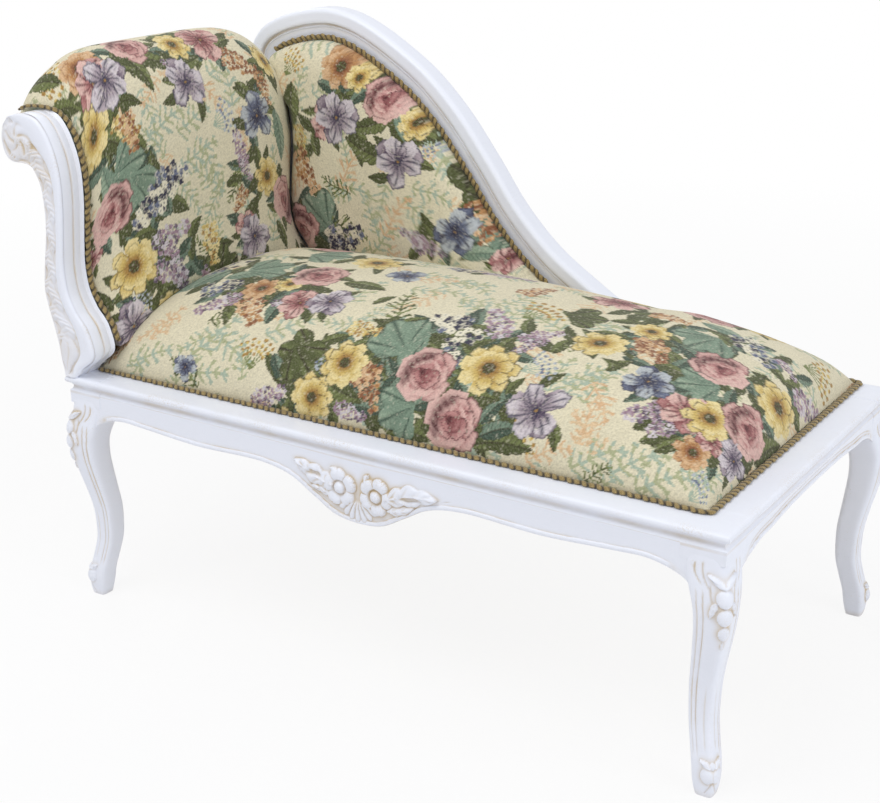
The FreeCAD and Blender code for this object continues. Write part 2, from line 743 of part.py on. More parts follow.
head_outer = form(head_sections(head_place_shares, 0))
head_grown = form(head_sections(head_place_shares, -fit_gap))
head_foam = head_core(foam_inset).cut([seat_room] + head_room())
head_cover = head_outer.cut([seat_grown, head_core(foam_inset - fit_gap)] + head_room())

# Back pad: outlines between the back rail and the rear upright, smaller and smaller towards
# the front
back_size_shares = [(1.0, 0.0), (1.0, 0.12), (0.985, 0.40), (0.93, 0.68), (0.80, 0.88), (0.5, 1.0)]
back_foam_size_shares = [(1.0, 0.0), (0.98, 0.35), (0.92, 0.65), (0.79, 0.86), (0.5, 0.98)]
back_heart_share = (0.30, 0.43)
y_back_pad = y_web_back - strap_thickness - fit_gap


def back_outline(smaller):
    upper = inset(back_line, back_rail_width + fit_gap + smaller)[1:16]
    side = inset(inner_edge, -braid_width - smaller)[2:10]
    return upper + side[::-1]


def back_sections(shares, smaller):
    heart_x = x_back + back_heart_share[0] * back_length
    heart_z = z_top + back_heart_share[1] * back_rise
    outline = back_outline(smaller)
    sections = []
    for size, forward in shares:
        plan = [(heart_x + size * (x - heart_x), heart_z + size * (z - heart_z)) for x, z in outline]
        sections.append(on_plane(plan, y_back_pad - forward * (back_crown - smaller)))
    return sections


def back_core(smaller):
    return facet_form(back_sections(back_foam_size_shares, smaller))


back_outer = form(back_sections(back_size_shares, 0))
back_foam = back_core(foam_inset).cut([seat_room, head_core(-foam_inset)])
back_cover = back_outer.cut([seat_grown, head_grown, back_core(foam_inset - fit_gap)])

# Webbing and linings of the seat
rebate_inset = flange_width - rebate_width + fit_gap
z_rebate = z_top - rebate_depth


def strap_places(middle, reach):
    count = int((reach - strap_width / 2) / strap_spacing)
    return [middle + i * strap_spacing for i in range(-count, count + 1)]


seat_webbing = []
z_strap = z_rebate + strap_thickness
for y in strap_places(0, y_rear - post_side):
    seat_webbing.append(block(x_head + rebate_inset, x_foot - rebate_inset, y - strap_width / 2,
                              y + strap_width / 2, z_rebate, z_strap))
for x in strap_places(x_middle, frame_length / 2 - post_side):
    seat_webbing.append(block(x - strap_width / 2, x + strap_width / 2, y_front + rebate_inset,
                              y_rear - rebate_inset, z_strap, z_strap + strap_thickness))
z_hessian = z_strap + strap_thickness
seat_hessian = block(x_head + rebate_inset, x_foot - rebate_inset, y_front + rebate_inset,
                     y_rear - rebate_inset, z_hessian, z_hessian + hessian_thickness)
post_room = block(0, post_side + fit_gap, 0, post_side + fit_gap, z_rebate, z_top + overrun)
seat_hessian = seat_hessian.cut([corner_place(post_room, *corner) for corner in corners])


def dust_cover_shape():
    # under the flanges, inside the rails, cut off at the corners clear of the blocks
    near = body_depth + fit_gap
    far = post_side + block_leg + 2 * fit_gap
    z0 = z_top - flange_height - outside_thickness
    quarter = [(near, far), (far, near)]
    plan = [vec(x_head + x, y_front + y, z0) for x, y in quarter]
    plan += [vec(x_foot - x, y_front + y, z0) for x, y in quarter[::-1]]
    plan += [vec(x_foot - x, y_rear - y, z0) for x, y in quarter]
    plan += [vec(x_head + x, y_rear - y, z0) for x, y in quarter[::-1]]
    return prism(outline(plan), vec(0, 0, outside_thickness))


dust_cover = dust_cover_shape()


# Webbing of the head end and of the back

def head_strap(y):
    # down the face of the arched rail, across the opening, and down the lower rail
    front = [(x_web_low, z_low_rail_top - strap_hold), (x_web_low, z_low_rail_top),
             (x_web_top, z_top_rail), (x_web_top, z_top_rail + strap_hold)]
    plan = front + [(x + strap_thickness, z) for x, z in front[::-1]]
    return prism(outline(on_plane(plan, y - strap_width / 2)), vec(0, strap_width, 0))


head_webbing = [head_strap(y) for y in strap_places(0, y_upright)]
y_back_strap = y_web_back - strap_thickness
strap_area = inside_back(back_rail_width - back_rebate_width + fit_gap, 0, y_back_strap, y_web_back)
back_webbing = []
for x in strap_places(x_post, back_length / 4):
    strap = block(x - strap_width / 2, x + strap_width / 2, y_back_strap, y_web_back,
                  z_back_low - strap_hold + fit_gap, z_top + back_rise)
    back_webbing.append(strap.common(strap_area))


# Outside covers, which close the head end and the back from behind

def upright_blank(grown, y0, y1):
    points = on_plane(inset(upright_line, -grown), y0)
    edges = arc_chain(points) + [line(points[-1], points[0])]
    return prism(edges, vec(0, y1 - y0, 0))


outer_edge = upright_line[:6] + [(upright_line[6][0], z_top_rail - fit_gap)]
y_outside = y_upright - fit_gap
head_outside_cover = ribbon(outer_edge, outside_sink, outside_sink + outside_thickness, -y_outside,
                            y_outside)
head_outside_gimp = ribbon(outer_edge, outside_sink - fit_gap - braid_height, outside_sink - fit_gap,
                           -y_outside, y_outside)
head_outside_gimp = head_outside_gimp.cut(
    block(x_scroll, x_middle, braid_width - y_outside, y_outside - braid_width,
          z_top + braid_width, z_top_rail - braid_width))
x_left, z_left = upright_place(0.60, 0.92)


def outside_back(distance, clear, y0, y1):
    panel = inside_back(distance, clear, y0, y1)
    hidden = [block(x_scroll, x_left, y0 - overrun, y1 + overrun, z_top, z_left),
              upright_blank(clear, y0 - overrun, y1 + overrun)]
    return panel.cut(hidden)


y_lining = y_back_rear + outside_thickness
back_outside_cover = outside_back(outside_inset, fit_gap, y_back_rear, y_lining)
back_outside_gimp = outside_back(outside_inset, fit_gap, y_lining, y_lining + braid_height).cut(
    outside_back(outside_inset + braid_width, fit_gap + braid_width, y_lining,
                 y_lining + braid_height))

# Braids that show: round the seat, down the front upright, and along the back rail
x_braid_start = x_head + upright_foot + braid_width / 2
braid_round = 12.0


def seat_braid():
    x_far = x_foot - show_margin
    y_near = y_front + show_margin
    y_far = y_rear - rear_margin
    bend = braid_round * (1 - math.sqrt(2) / 2)
    points = [(x_braid_start, y_near + braid_width), (x_braid_start, y_near),
              (x_far - braid_round, y_near), (x_far - bend, y_near + bend),
              (x_far, y_near + braid_round), (x_far, y_far - braid_round),
              (x_far - bend, y_far - bend), (x_far - braid_round, y_far), (x_tail, y_far),
              (x_tail, y_far - braid_width), (x_far - braid_width, y_far - braid_width),
              (x_far - braid_width, y_near + braid_width)]
    p = [vec(x, y, z_top) for x, y in points]
    edges = [line(p[0], p[1]), line(p[1], p[2]), arc(p[2], p[3], p[4]), line(p[4], p[5]),
             arc(p[5], p[6], p[7]), line(p[7], p[8]), line(p[8], p[9]), line(p[9], p[10]),
             line(p[10], p[11]), line(p[11], p[0])]
    return prism(edges, vec(0, 0, braid_height))


seat_gimp = seat_braid()
head_gimp = ribbon(inner_edge, -braid_height, braid_width / 2, fit_gap - y_upright,
                   fit_gap - y_upright + braid_width - 2 * fit_gap)
back_braid_line = back_line[4:17]
y_step = y_back_front + back_step_depth
back_braid_far = back_rail_width - braid_clear
back_gimp = ribbon(back_braid_line, back_braid_far - braid_width, back_braid_far,
                   y_step - braid_height, y_step)

nodes = dict(legs, front_rail=front_rail, rear_rail=rear_rail, foot_rail=foot_rail,
             head_rail=head_rail, front_head_upright=front_head_upright,
             rear_head_upright=rear_head_upright, head_top_rail=head_top_rail,
             head_lower_rail=head_lower_rail, back_top_rail=back_top_rail,
             back_lower_rail=back_lower_rail, back_post=back_post, seat_hessian=seat_hessian,
             dust_cover=dust_cover, seat_foam=seat_foam, seat_cover=seat_cover,
             head_foam=head_foam, head_cover=head_cover, back_foam=back_foam,
             back_cover=back_cover, head_outside_cover=head_outside_cover,
             back_outside_cover=back_outside_cover, seat_gimp=seat_gimp, head_gimp=head_gimp,
             back_gimp=back_gimp, head_outside_gimp=head_outside_gimp,
             back_outside_gimp=back_outside_gimp)
groups = {"corner_blocks": corner_blocks, "seat_webbing": seat_webbing,
          "head_webbing": head_webbing, "back_webbing": back_webbing}
for name, solids in groups.items():
    nodes[name] = Part.makeCompound(solids)
os.makedirs("parts", exist_ok=True)
for node, shape in nodes.items():
    shape.exportStep(os.path.join("parts", node + ".step"))
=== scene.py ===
import bpy
import numpy as np
from mathutils import Matrix, Vector


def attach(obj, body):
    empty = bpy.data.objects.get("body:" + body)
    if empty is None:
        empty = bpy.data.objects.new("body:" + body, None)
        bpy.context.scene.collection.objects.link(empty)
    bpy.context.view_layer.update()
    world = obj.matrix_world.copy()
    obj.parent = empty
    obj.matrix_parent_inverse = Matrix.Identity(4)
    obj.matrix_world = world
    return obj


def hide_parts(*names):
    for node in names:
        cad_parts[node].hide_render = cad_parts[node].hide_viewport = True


# Carved and painted chaise longue in a floral tapestry, dressed over its CAD frame.
# Metres, the floor at z 0, the front towards -y, the head end towards -x.

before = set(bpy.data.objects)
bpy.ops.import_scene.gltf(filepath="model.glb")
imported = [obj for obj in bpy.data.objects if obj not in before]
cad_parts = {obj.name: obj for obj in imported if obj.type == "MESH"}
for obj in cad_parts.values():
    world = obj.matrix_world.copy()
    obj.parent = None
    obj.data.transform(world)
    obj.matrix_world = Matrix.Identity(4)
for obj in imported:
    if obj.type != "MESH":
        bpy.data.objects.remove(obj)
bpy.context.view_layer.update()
print("frame loaded:", len(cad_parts), "nodes")

chaise = {"xScroll": -0.596, "xHead": -0.508, "xFoot": 0.592, "yFront": -0.305, "yRear": 0.305,
          "zTop": 0.373, "zRail": 0.315, "postSide": 0.066, "uprightHeight": 0.400,
          "uprightSpan": 0.155, "padGap": 0.0008}


# Lines, surfaces and meshes

def smoothLine(points, count):
    # cubic through the points with slopes from their neighbours, then spaced evenly on its length
    p = np.asarray(points, float)
    t = np.concatenate([[0], np.cumsum(np.sqrt(np.linalg.norm(np.diff(p, axis=0), axis=1)))])
    slope = np.gradient(p, t, axis=0)
    fine = np.linspace(0, t[-1], 40 * len(p))
    k = np.clip(np.searchsorted(t, fine, side="right") - 1, 0, len(t) - 2)
    h = (t[k + 1] - t[k])[:, None]
    s = (fine - t[k])[:, None] / h
    curve = ((2 * s**3 - 3 * s**2 + 1) * p[k] + (s**3 - 2 * s**2 + s) * h * slope[k]
             + (3 * s**2 - 2 * s**3) * p[k + 1] + (s**3 - s**2) * h * slope[k + 1])
    return evenLine(curve, count)


def runAlong(line):
    # the distance from a line's first point to each of its points
    return np.concatenate([[0], np.cumsum(np.linalg.norm(np.diff(line, axis=0), axis=1))])


def evenLine(curve, count):
    # the same line with its points at equal distances along it
    run = runAlong(curve)
    even = np.linspace(0, run[-1], count)
    return np.stack([np.interp(even, run, curve[:, i]) for i in range(curve.shape[1])], 1)


def rightHand(line):
    # unit vectors to the right hand side of a line in the x z plane
    step = np.gradient(line, axis=0)
    step /= np.linalg.norm(step, axis=1)[:, None]
    return np.stack([step[:, 1], -step[:, 0]], 1)


def stood(places, y):
    # places in the x z plane, set at the depth y
    return np.stack([places[..., 0], np.broadcast_to(y, places.shape[:-1]), places[..., 1]], -1)


def smoothStep(value, low, high):
    t = np.clip((value - low) / (high - low), 0, 1)
    return t * t * (3 - 2 * t)


def bump(distance, width):
    # 1 on a line, falling off as a bell
    return np.exp(-(distance / width) ** 2)


def softened(field, times):
    # each value averaged with its neighbours along rows and columns, several times over
    for _ in range(times):
        p = np.pad(field, 1, mode="edge")
        field = (p[:-2, 1:-1] + p[2:, 1:-1] + p[1:-1, :-2] + p[1:-1, 2:] + 2 * field) / 6
    return field


def hollows(relief, times=8, scale=0.0008):
    # how far a point lies under its softened surroundings, from 0 to 1
    return np.clip((softened(relief, times) - relief) / scale, 0, 1)


def crests(relief, times=5, scale=0.0008):
    return np.clip((relief - softened(relief, times)) / scale, 0, 1)


def surface(points, values, closed=True, rim=False):
    # a grid of points (rows, columns, 3) with its point values: closed joins the last column to the
    # first and caps the two end rows, rim closes the whole edge of an open grid with one face
    shape = points.shape[:2]
    index = np.arange(shape[0] * shape[1]).reshape(shape)
    flat = []
    if closed:
        flat = [index[0][::-1], index[-1]]
        index = np.hstack([index, index[:, :1]])
    elif rim:
        flat = [np.concatenate([index[0, :-1], index[:-1, -1], index[-1, :0:-1], index[:0:-1, 0]])]
    corners = [index[:-1, :-1], index[1:, :-1], index[1:, 1:], index[:-1, 1:]]
    part = {"points": points.reshape(-1, 3), "polys": list(np.stack(corners, -1).reshape(-1, 4)),
            "flat": flat, "values": {}}
    for name, value in values.items():
        size = np.shape(value)[2:]
        part["values"][name] = np.broadcast_to(value, shape + size).reshape((-1,) + size)
    if flat:
        outward(part)
    return part


def outward(part):
    # the volume under all faces is positive when they point out
    p = part["points"]
    total = 0.0
    quads = np.array(part["polys"])
    for a, b, c in ((0, 1, 2), (0, 2, 3)):
        total += np.einsum("ij,ij->", p[quads[:, a]], np.cross(p[quads[:, b]], p[quads[:, c]]))
    for poly in part["flat"]:
        first = np.broadcast_to(p[poly[0]], (len(poly) - 2, 3))
        total += np.einsum("ij,ij->", first, np.cross(p[poly[1:-1]], p[poly[2:]]))
    if total < 0:
        part["polys"] = [poly[::-1] for poly in part["polys"]]
        part["flat"] = [poly[::-1] for poly in part["flat"]]


def addPiece(name, parts, material, nodes, sharp=0.7):
    # one object from its parts, with their point values, riding on the frame
    offset = 0
    polys, smooth = [], []
    for part in parts:
        polys += [np.asarray(poly) + offset for poly in part["polys"] + part["flat"]]
        smooth += [True] * len(part["polys"]) + [False] * len(part["flat"])
        offset += len(part["points"])
    points = np.concatenate([part["points"] for part in parts])
    loops = np.concatenate(polys)
    starts = np.concatenate([[0], np.cumsum([len(poly) for poly in polys])[:-1]])
    mesh = bpy.data.meshes.new(name)
    mesh.vertices.add(len(points))
    mesh.vertices.foreach_set("co", points.astype(np.float32).ravel())
    mesh.loops.add(len(loops))
    mesh.loops.foreach_set("vertex_index", loops.astype(np.int32))
    mesh.polygons.add(len(polys))
    mesh.polygons.foreach_set("loop_start", starts.astype(np.int32))
    mesh.update(calc_edges=True)
    mesh.polygons.foreach_set("use_smooth", np.array(smooth))
    for key in parts[0]["values"]:
        data = np.concatenate([part["values"][key] for part in parts]).astype(np.float32)
        kind = "FLOAT" if data.ndim == 1 else "FLOAT_COLOR" if data.shape[1] == 4 else "FLOAT_VECTOR"
        field = {"FLOAT": "value", "FLOAT_COLOR": "color", "FLOAT_VECTOR": "vector"}[kind]
        mesh.attributes.new(key, kind, "POINT").data.foreach_set(field, data.ravel())
    mesh.validate()
    if sharp:
        mesh.set_sharp_from_angle(angle=sharp)
    piece = bpy.data.objects.new(name, mesh)
    bpy.context.scene.collection.objects.link(piece)
    mesh.materials.append(material)
    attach(piece, "root")
    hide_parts(*nodes)
    print("made", name, len(points), "points")
    return piece


# Materials

def tone(red, green, blue):
    # a colour as read off a screen, 0 to 255, turned linear
    c = np.array([red, green, blue]) / 255
    return tuple(np.where(c <= 0.04045, c / 12.92, ((c + 0.055) / 1.055) ** 2.4)) + (1.0,)


def newGroup(name, inputs, outputs):
    # a shader group and what comes into it: inputs are name, kind and value, outputs name and kind
    group = bpy.data.node_groups.new(name, "ShaderNodeTree")
    for label, kind, value in inputs:
        socket = group.interface.new_socket(name=label, in_out="INPUT", socket_type="NodeSocket" + kind)
        if value is not None:
            socket.default_value = value
    for label, kind in outputs:
        group.interface.new_socket(name=label, in_out="OUTPUT", socket_type="NodeSocket" + kind)
    return group, group.nodes.new("NodeGroupInput").outputs


def giveOut(group, **values):
    target = group.nodes.new("NodeGroupOutput")
    for label, value in values.items():
        group.links.new(value, target.inputs[label])
    return group


def addNode(tree, kind, settings=None, **links):
    # a node, its settings, and what feeds its sockets: a value or another node's output
    node = tree.nodes.new("ShaderNode" + kind)
    for key, value in (settings or {}).items():
        setattr(node, key, value)
    for key, value in links.items():
        numbered = key[0] == "i" and key[1:].isdigit()
        socket = node.inputs[int(key[1:]) if numbered else key.replace("_", " ")]
        if isinstance(value, bpy.types.NodeSocket):
            tree.links.new(value, socket)
        else:
            socket.default_value = value
    return node


def maths(tree, operation, a, b=0.0, clamp=False):
    return addNode(tree, "Math", {"operation": operation, "use_clamp": clamp}, i0=a, i1=b).outputs[0]


def times(tree, a, b, clamp=False):
    return maths(tree, "MULTIPLY", a, b, clamp)


def plus(tree, a, b, clamp=False):
    return maths(tree, "ADD", a, b, clamp)


def mixed(tree, factor, a, b, blend="MIX"):
    settings = {"data_type": "RGBA", "blend_type": blend}
    return addNode(tree, "Mix", settings, i0=factor, i6=a, i7=b).outputs[2]


def spread(tree, value, low, high):
    return addNode(tree, "MapRange", {}, i0=value, i1=low, i2=high, i3=0.0, i4=1.0).outputs[0]


def noise(tree, place, scale, detail=2.0, **sockets):
    return addNode(tree, "TexNoise", {}, Vector=place, Scale=scale, Detail=detail, **sockets).outputs[0]


def attribute(tree, name, output="Fac"):
    return addNode(tree, "Attribute", {"attribute_name": name}).outputs[output]


def objectPlace(tree):
    return addNode(tree, "TexCoord").outputs["Object"]


def newMaterial(name):
    material = bpy.data.materials.new(name)
    material.use_nodes = True
    return material, material.node_tree


def feedShader(tree, colour, rough, height, strength, distance, **plain):
    # colour, roughness and a bump reach the shader, its plain values are set on its own sockets
    shader = tree.nodes["Principled BSDF"]
    raised = addNode(tree, "Bump", {}, Strength=strength, Distance=distance, Height=height).outputs[0]
    for label, value in (("Base Color", colour), ("Roughness", rough), ("Normal", raised)):
        tree.links.new(value, shader.inputs[label])
    for label, value in plain.items():
        shader.inputs[label.replace("_", " ")].default_value = value


def brushedPaintGroup():
    # hand brushed paint: faint strokes, an ochre wash in the hollows that also lays painted shade
    # where a piece asks for it, small specks where it has rubbed away, and worn edges
    group, taken = newGroup("brushedPaint",
                            [("Recess", "Float", 0.0), ("Edge", "Float", 0.0),
                             ("Paint", "Color", tone(236, 239, 249)), ("WashAndShadeTone", "Color", tone(198, 172, 122)),
                             ("Rubbed", "Color", tone(196, 178, 148))],
                            [("Color", "Color"), ("Roughness", "Float"), ("Height", "Float")])
    place = objectPlace(group)
    streaks = addNode(group, "Mapping", {}, Vector=place, Scale=(90.0, 90.0, 420.0)).outputs[0]
    strokes = noise(group, streaks, 1.0, 4.0, Roughness=0.6)
    cloud = noise(group, place, 14.0, 3.0)
    grain = noise(group, place, 520.0)
    specks = times(group, spread(group, grain, 0.66, 0.74), spread(group, cloud, 0.50, 0.66))
    worn = times(group, taken["Edge"], spread(group, grain, 0.45, 0.6))
    worn = times(group, worn, spread(group, cloud, 0.42, 0.6))
    # the wash in the hollows, and painted shade where a piece's wash value sets it
    washedAndShaded = times(group, taken["Recess"], spread(group, cloud, 0.25, 0.62), True)
    washedAndShaded = times(group, washedAndShaded, 0.85)
    tint = mixed(group, times(group, strokes, 0.35), taken["Paint"], tone(224, 228, 238))
    tint = mixed(group, washedAndShaded, tint, taken["WashAndShadeTone"])
    for amount, share in ((specks, 0.5), (worn, 0.45)):
        tint = mixed(group, times(group, amount, share), tint, taken["Rubbed"])
    rough = plus(group, 0.36, times(group, strokes, 0.16))
    rough = plus(group, rough, times(group, washedAndShaded, 0.2), True)
    height = plus(group, times(group, strokes, 0.6), times(group, grain, 0.4))
    return giveOut(group, Color=tint, Roughness=rough, Height=height)


def paintedWood(name):
    material, tree = newMaterial(name)
    # the wash values also carry painted shade on the uprights
    given = addNode(tree, "Group", {"node_tree": groups["paint"]}, Recess=attribute(tree, "patina"),
                    Edge=attribute(tree, "edge")).outputs
    feedShader(tree, given["Color"], given["Roughness"], given["Height"], 0.25, 0.0006,
               Coat_Weight=0.12, Coat_Roughness=0.35)
    return material


def bareWood(name, pale, dark):
    # sawn beech: long grain lines with pores
    material, tree = newMaterial(name)
    run = addNode(tree, "Mapping", {}, Vector=objectPlace(tree), Scale=(3.0, 60.0, 60.0)).outputs[0]
    rings = addNode(tree, "TexWave", {"wave_type": "BANDS"}, Vector=run, Scale=0.6, Distortion=6.0,
                    Detail=3.0).outputs["Fac"]
    pores = noise(tree, run, 9.0, 4.0)
    tint = mixed(tree, rings, pale, dark)
    tint = mixed(tree, spread(tree, pores, 0.55, 0.75), tint, dark, "MULTIPLY")
    feedShader(tree, tint, plus(tree, 0.55, times(tree, pores, 0.3)), pores, 0.3, 0.0008)
    return material


def weaveGroup():
    # plain weave of a cloth, from its own coordinates in metres: warp and weft ribs over and
    # under each other, with uneven yarn; its shading output is painted light and shade, the rib
    # crests lighter and the hollows between them darker, mixed with the uneven yarn
    group, taken = newGroup("weave", [("Cloth", "Vector", None), ("Threads", "Float", 900.0),
                                      ("Uneven", "Float", 0.5)],
                            [("Height", "Float"), ("Shade", "Float")])
    axes = addNode(group, "SeparateXYZ", {}, i0=taken["Cloth"]).outputs
    warp, weft = (maths(group, "SINE", times(group, times(group, axes[i], taken["Threads"]), 2 * np.pi))
                  for i in (0, 1))
    rib = plus(group, times(group, warp, 0.5), times(group, warp, weft))
    size = addNode(group, "VectorMath", {"operation": "SCALE"}, i0=taken["Cloth"],
                   Scale=taken["Threads"]).outputs[0]
    yarn = noise(group, size, 0.55, 3.0)
    uneven = times(group, maths(group, "SUBTRACT", yarn, 0.5), taken["Uneven"])
    height = plus(group, times(group, rib, 0.35), times(group, yarn, 0.6))
    # painted light and shade of the ribs, plus the uneven yarn
    return giveOut(group, Height=height, Shade=plus(group, times(group, rib, 0.10), uneven))


def clothMaterial(name, threads, uneven, colours=None, distance=0.0005, sheen=0.25):
    # woven cloth: its colour is dyed on the piece, or clouds between two tones of one yarn, then
    # painted lighter on the rib crests and darker between them
    material, tree = newMaterial(name)
    weave = addNode(tree, "Group", {"node_tree": groups["weave"]}, Cloth=attribute(tree, "cloth", "Vector"),
                    Threads=threads, Uneven=uneven).outputs
    if colours:
        tint = mixed(tree, spread(tree, noise(tree, objectPlace(tree), 9.0), 0.3, 0.7), *colours)
    else:
        tint = attribute(tree, "dye", "Color")
    # painted highlight toward cream on the rib crests, painted shade toward grey between them
    lit = mixed(tree, 0.35, tint, tone(250, 240, 215))
    shaded = mixed(tree, 1.0, tint, tone(150, 140, 130), "MULTIPLY")
    woven = mixed(tree, spread(tree, weave["Shade"], 0.0, 0.5), tint, lit)
    woven = mixed(tree, spread(tree, times(tree, weave["Shade"], -1.0), 0.0, 0.5), woven, shaded)
    rough = plus(tree, 0.82, times(tree, weave["Height"], 0.1), True)
    feedShader(tree, woven, rough, weave["Height"], 0.5, distance, Sheen_Weight=sheen,
               Sheen_Roughness=0.5, Specular_IOR_Level=0.25)
    return material


def braidMaterial(name):
    # twisted braid of gold and olive yarn, with painted shade down one side and in the grooves of the twist
    material, tree = newMaterial(name)
    fibre = noise(tree, objectPlace(tree), 900.0, 3.0)
    # painted shade down one side of the braid, deepest over its knots
    tint = mixed(tree, attribute(tree, "edge"), tone(136, 112, 64), tone(80, 68, 36))
    tint = mixed(tree, spread(tree, fibre, 0.4, 0.65), tint, tone(174, 152, 98))
    # painted shade in the grooves of the twist
    tint = mixed(tree, attribute(tree, "patina"), tint, tone(50, 41, 22))
    feedShader(tree, tint, plus(tree, 0.55, times(tree, fibre, 0.3)), fibre, 0.6, 0.0005, Sheen_Weight=0.3)
    return material


groups = {"paint": brushedPaintGroup(), "weave": weaveGroup()}
whitePaint = paintedWood("whitePaint")
beech = bareWood("beech", tone(196, 160, 118), tone(160, 122, 84))
tapestry = clothMaterial("tapestry", 620.0, 0.6, sheen=0.15)
calico = clothMaterial("calico", 1100.0, 0.4, (tone(222, 212, 188), tone(206, 194, 168)))
jute = clothMaterial("jute", 500.0, 0.9, (tone(176, 140, 92), tone(150, 116, 74)), 0.0009, 0.1)
sacking = clothMaterial("sacking", 420.0, 0.9, (tone(168, 138, 98), tone(144, 114, 78)), 0.0009, 0.1)
goldBraid = braidMaterial("goldBraid")
print("materials ready")


# Carving, as heights over a face in its own two coordinates

def blossom(x, z, radius, height, turn):
    # a button within five broad petals that touch: each is a low dome, notched where it meets the next,
    # dished towards the button and with a rolled rim
    r = np.hypot(x, z) / radius
    angle = (np.arctan2(z, x) - turn) * 5 / 2
    lobe = np.abs(np.cos(angle))
    reach = (0.76 + 0.24 * lobe**0.6) * (1 - 0.05 * bump(np.sin(angle), 0.16))
    k = np.clip(r / reach, 0, 1)
    rim = np.clip(1 - k**5, 0, 1)**0.5 * (0.62 + 0.38 * smoothStep(k, 0.35, 0.80))
    petal = rim * (0.42 + 0.58 * lobe**0.45)
    button = 1.12 * np.sqrt(np.clip(1 - (r / 0.31)**2, 0, 1))
    return height * np.maximum(petal * (1 - 0.75 * bump(r - 0.355, 0.055)), button)


def boss(x, z, wide, tall, height):
    # a smooth oval dome
    return height * np.clip(1 - (x / wide)**2 - (z / tall)**2, 0, 1)**0.45


def carvedLeaf(x, z, root, tip, width, height, lobes=3, bend=0.0):
    # a leaf along a bowed midrib: its edge has lobes, its blades rise to the rib and are veined
    ax, az = tip[0] - root[0], tip[1] - root[1]
    length = np.hypot(ax, az)
    dx, dz = x - root[0], z - root[1]
    s = (dx * ax + dz * az) / length**2
    sc = np.clip(s, 0, 1)
    across = (dz * ax - dx * az) / length - bend * np.sin(np.pi * sc)
    half = width / 2 * np.sin(np.pi * sc**0.75)**0.7 * (0.72 + 0.28 * np.abs(np.sin(np.pi * lobes * sc)))
    k = np.abs(across) / np.maximum(half, 1e-5)
    blade = np.sqrt(np.clip(1 - k**2, 0, 1))
    veins = 0.16 * np.cos(2 * np.pi * (lobes * sc * 1.5 - 0.8 * k))
    rib = 0.25 * bump(across, 0.0016)
    return np.where((s > 0) & (s < 1), height * np.clip(blade * (0.85 + veins + rib), 0, 1.3), 0)


def carvedShell(x, z, radius, height, ribs):
    # reeds fanning down from a point, rounded at their ends
    r = np.hypot(x, z) / radius
    angle = np.arctan2(x, -z)
    reed = np.abs(np.cos(ribs * angle * 1.15))
    reach = 0.86 + 0.14 * reed
    rise = np.sqrt(np.clip(1 - (r / reach)**6, 0, 1)) * smoothStep(r, 0.15, 0.45)
    return np.where(np.abs(angle) < 1.25, height * rise * (0.35 + 0.65 * reed**0.6), 0)


def grooveLine(x, z, points, width, depth):
    # a groove along a smooth line: the distance to the nearest of its close points
    near = np.full(np.shape(x), 1.0)
    for px, pz in smoothLine(points, 60):
        near = np.minimum(near, np.hypot(x - px, z - pz))
    return -depth * bump(near, width)


# Seat rails

rail = {"noseHeight": 0.011, "coveHeight": 0.012, "coveHollow": 0.004, "faceInset": 0.005,
        "body": 0.037, "flange": 0.022, "bead": 0.007, "beadProud": 0.0025, "lineAbove": 0.0115,
        "lineWidth": 0.0011, "lap": 0.0145, "sweep": 0.030, "drop": 0.018, "arch": 0.018}
# heights of the apron's lower edge at distances from its middle
apronLine = [(0.0, 0.2555), (0.039, 0.2605), (0.077, 0.281), (0.116, 0.3025), (0.165, 0.312),
             (0.291, 0.3096), (0.407, 0.315), (0.484, 0.3102)]
# its carving, from the middle and the floor: each leaf has a root, tip, width, height, lobes and bow
apron = {"finely": (0.33, 0.67, 0.0011), "shellTop": 0.298, "shellReach": 0.040, "shellRise": 0.0044,
         "reeds": 9, "blossomSize": 0.0290, "blossomRise": 0.0074, "sunkDepth": 0.0080,
         "sunkHalf": 0.0036, "groove": 0.0012,
         "leaves": [((-0.040, 0.306), (-0.106, 0.331), 0.034, 0.0062, 3, 0.004),
                    ((0.048, 0.303), (0.132, 0.321), 0.034, 0.0062, 3, 0.005),
                    ((-0.046, 0.290), (-0.080, 0.297), 0.016, 0.0040, 2, -0.002),
                    ((0.050, 0.287), (0.094, 0.301), 0.016, 0.0040, 2, -0.003),
                    ((-0.020, 0.322), (-0.046, 0.331), 0.013, 0.0036, 2, 0.0),
                    ((0.012, 0.322), (0.020, 0.333), 0.011, 0.0030, 1, 0.0)],
         "sunk": [(-0.074, 0.3170, 0.011, 0.8, 0.0), (0.087, 0.3120, 0.014, 0.0, 0.12)],
         "blossoms": [(-0.0300, 0.3040, 0.45), (0.0310, 0.3030, -0.1)],
         "grooves": [[(-0.132, 0.338), (-0.10, 0.316), (-0.075, 0.293), (-0.05, 0.276)],
                     [(0.165, 0.331), (0.12, 0.309), (0.085, 0.291), (0.052, 0.276)]]}


def railColumns():
    # across the moulding from the inner edge of the flat top, round the nose and through the cove
    z = chaise["zTop"]
    turn = np.linspace(0, np.pi, 11)
    half = rail["noseHeight"] / 2
    nose = np.stack([half - half * np.sin(turn), z - half + half * np.cos(turn)], 1)
    k = np.linspace(0, 1, 9)[1:]
    cove = np.stack([rail["faceInset"] + (half - rail["faceInset"]) * (1 - k)
                     + rail["coveHollow"] * np.sin(np.pi * k),
                     z - rail["noseHeight"] - rail["coveHeight"] * k], 1)
    top = np.stack([np.linspace(chaise["postSide"], half, 7)[:-1], np.full(6, z)], 1)
    return np.concatenate([top, nose, cove])


def wearMoulding(patina, edge):
    # the wash lies in the cove and under it, and the nose is rubbed
    count = len(railColumns())
    patina[:, count - 9:count] = 0.55 * bump(np.linspace(-1, 1, 9), 0.5)
    patina[:, count:count + 2] = np.maximum(patina[:, count:count + 2], 0.35)
    edge[:, 6:14] = 0.5
    return {"patina": patina, "edge": edge}


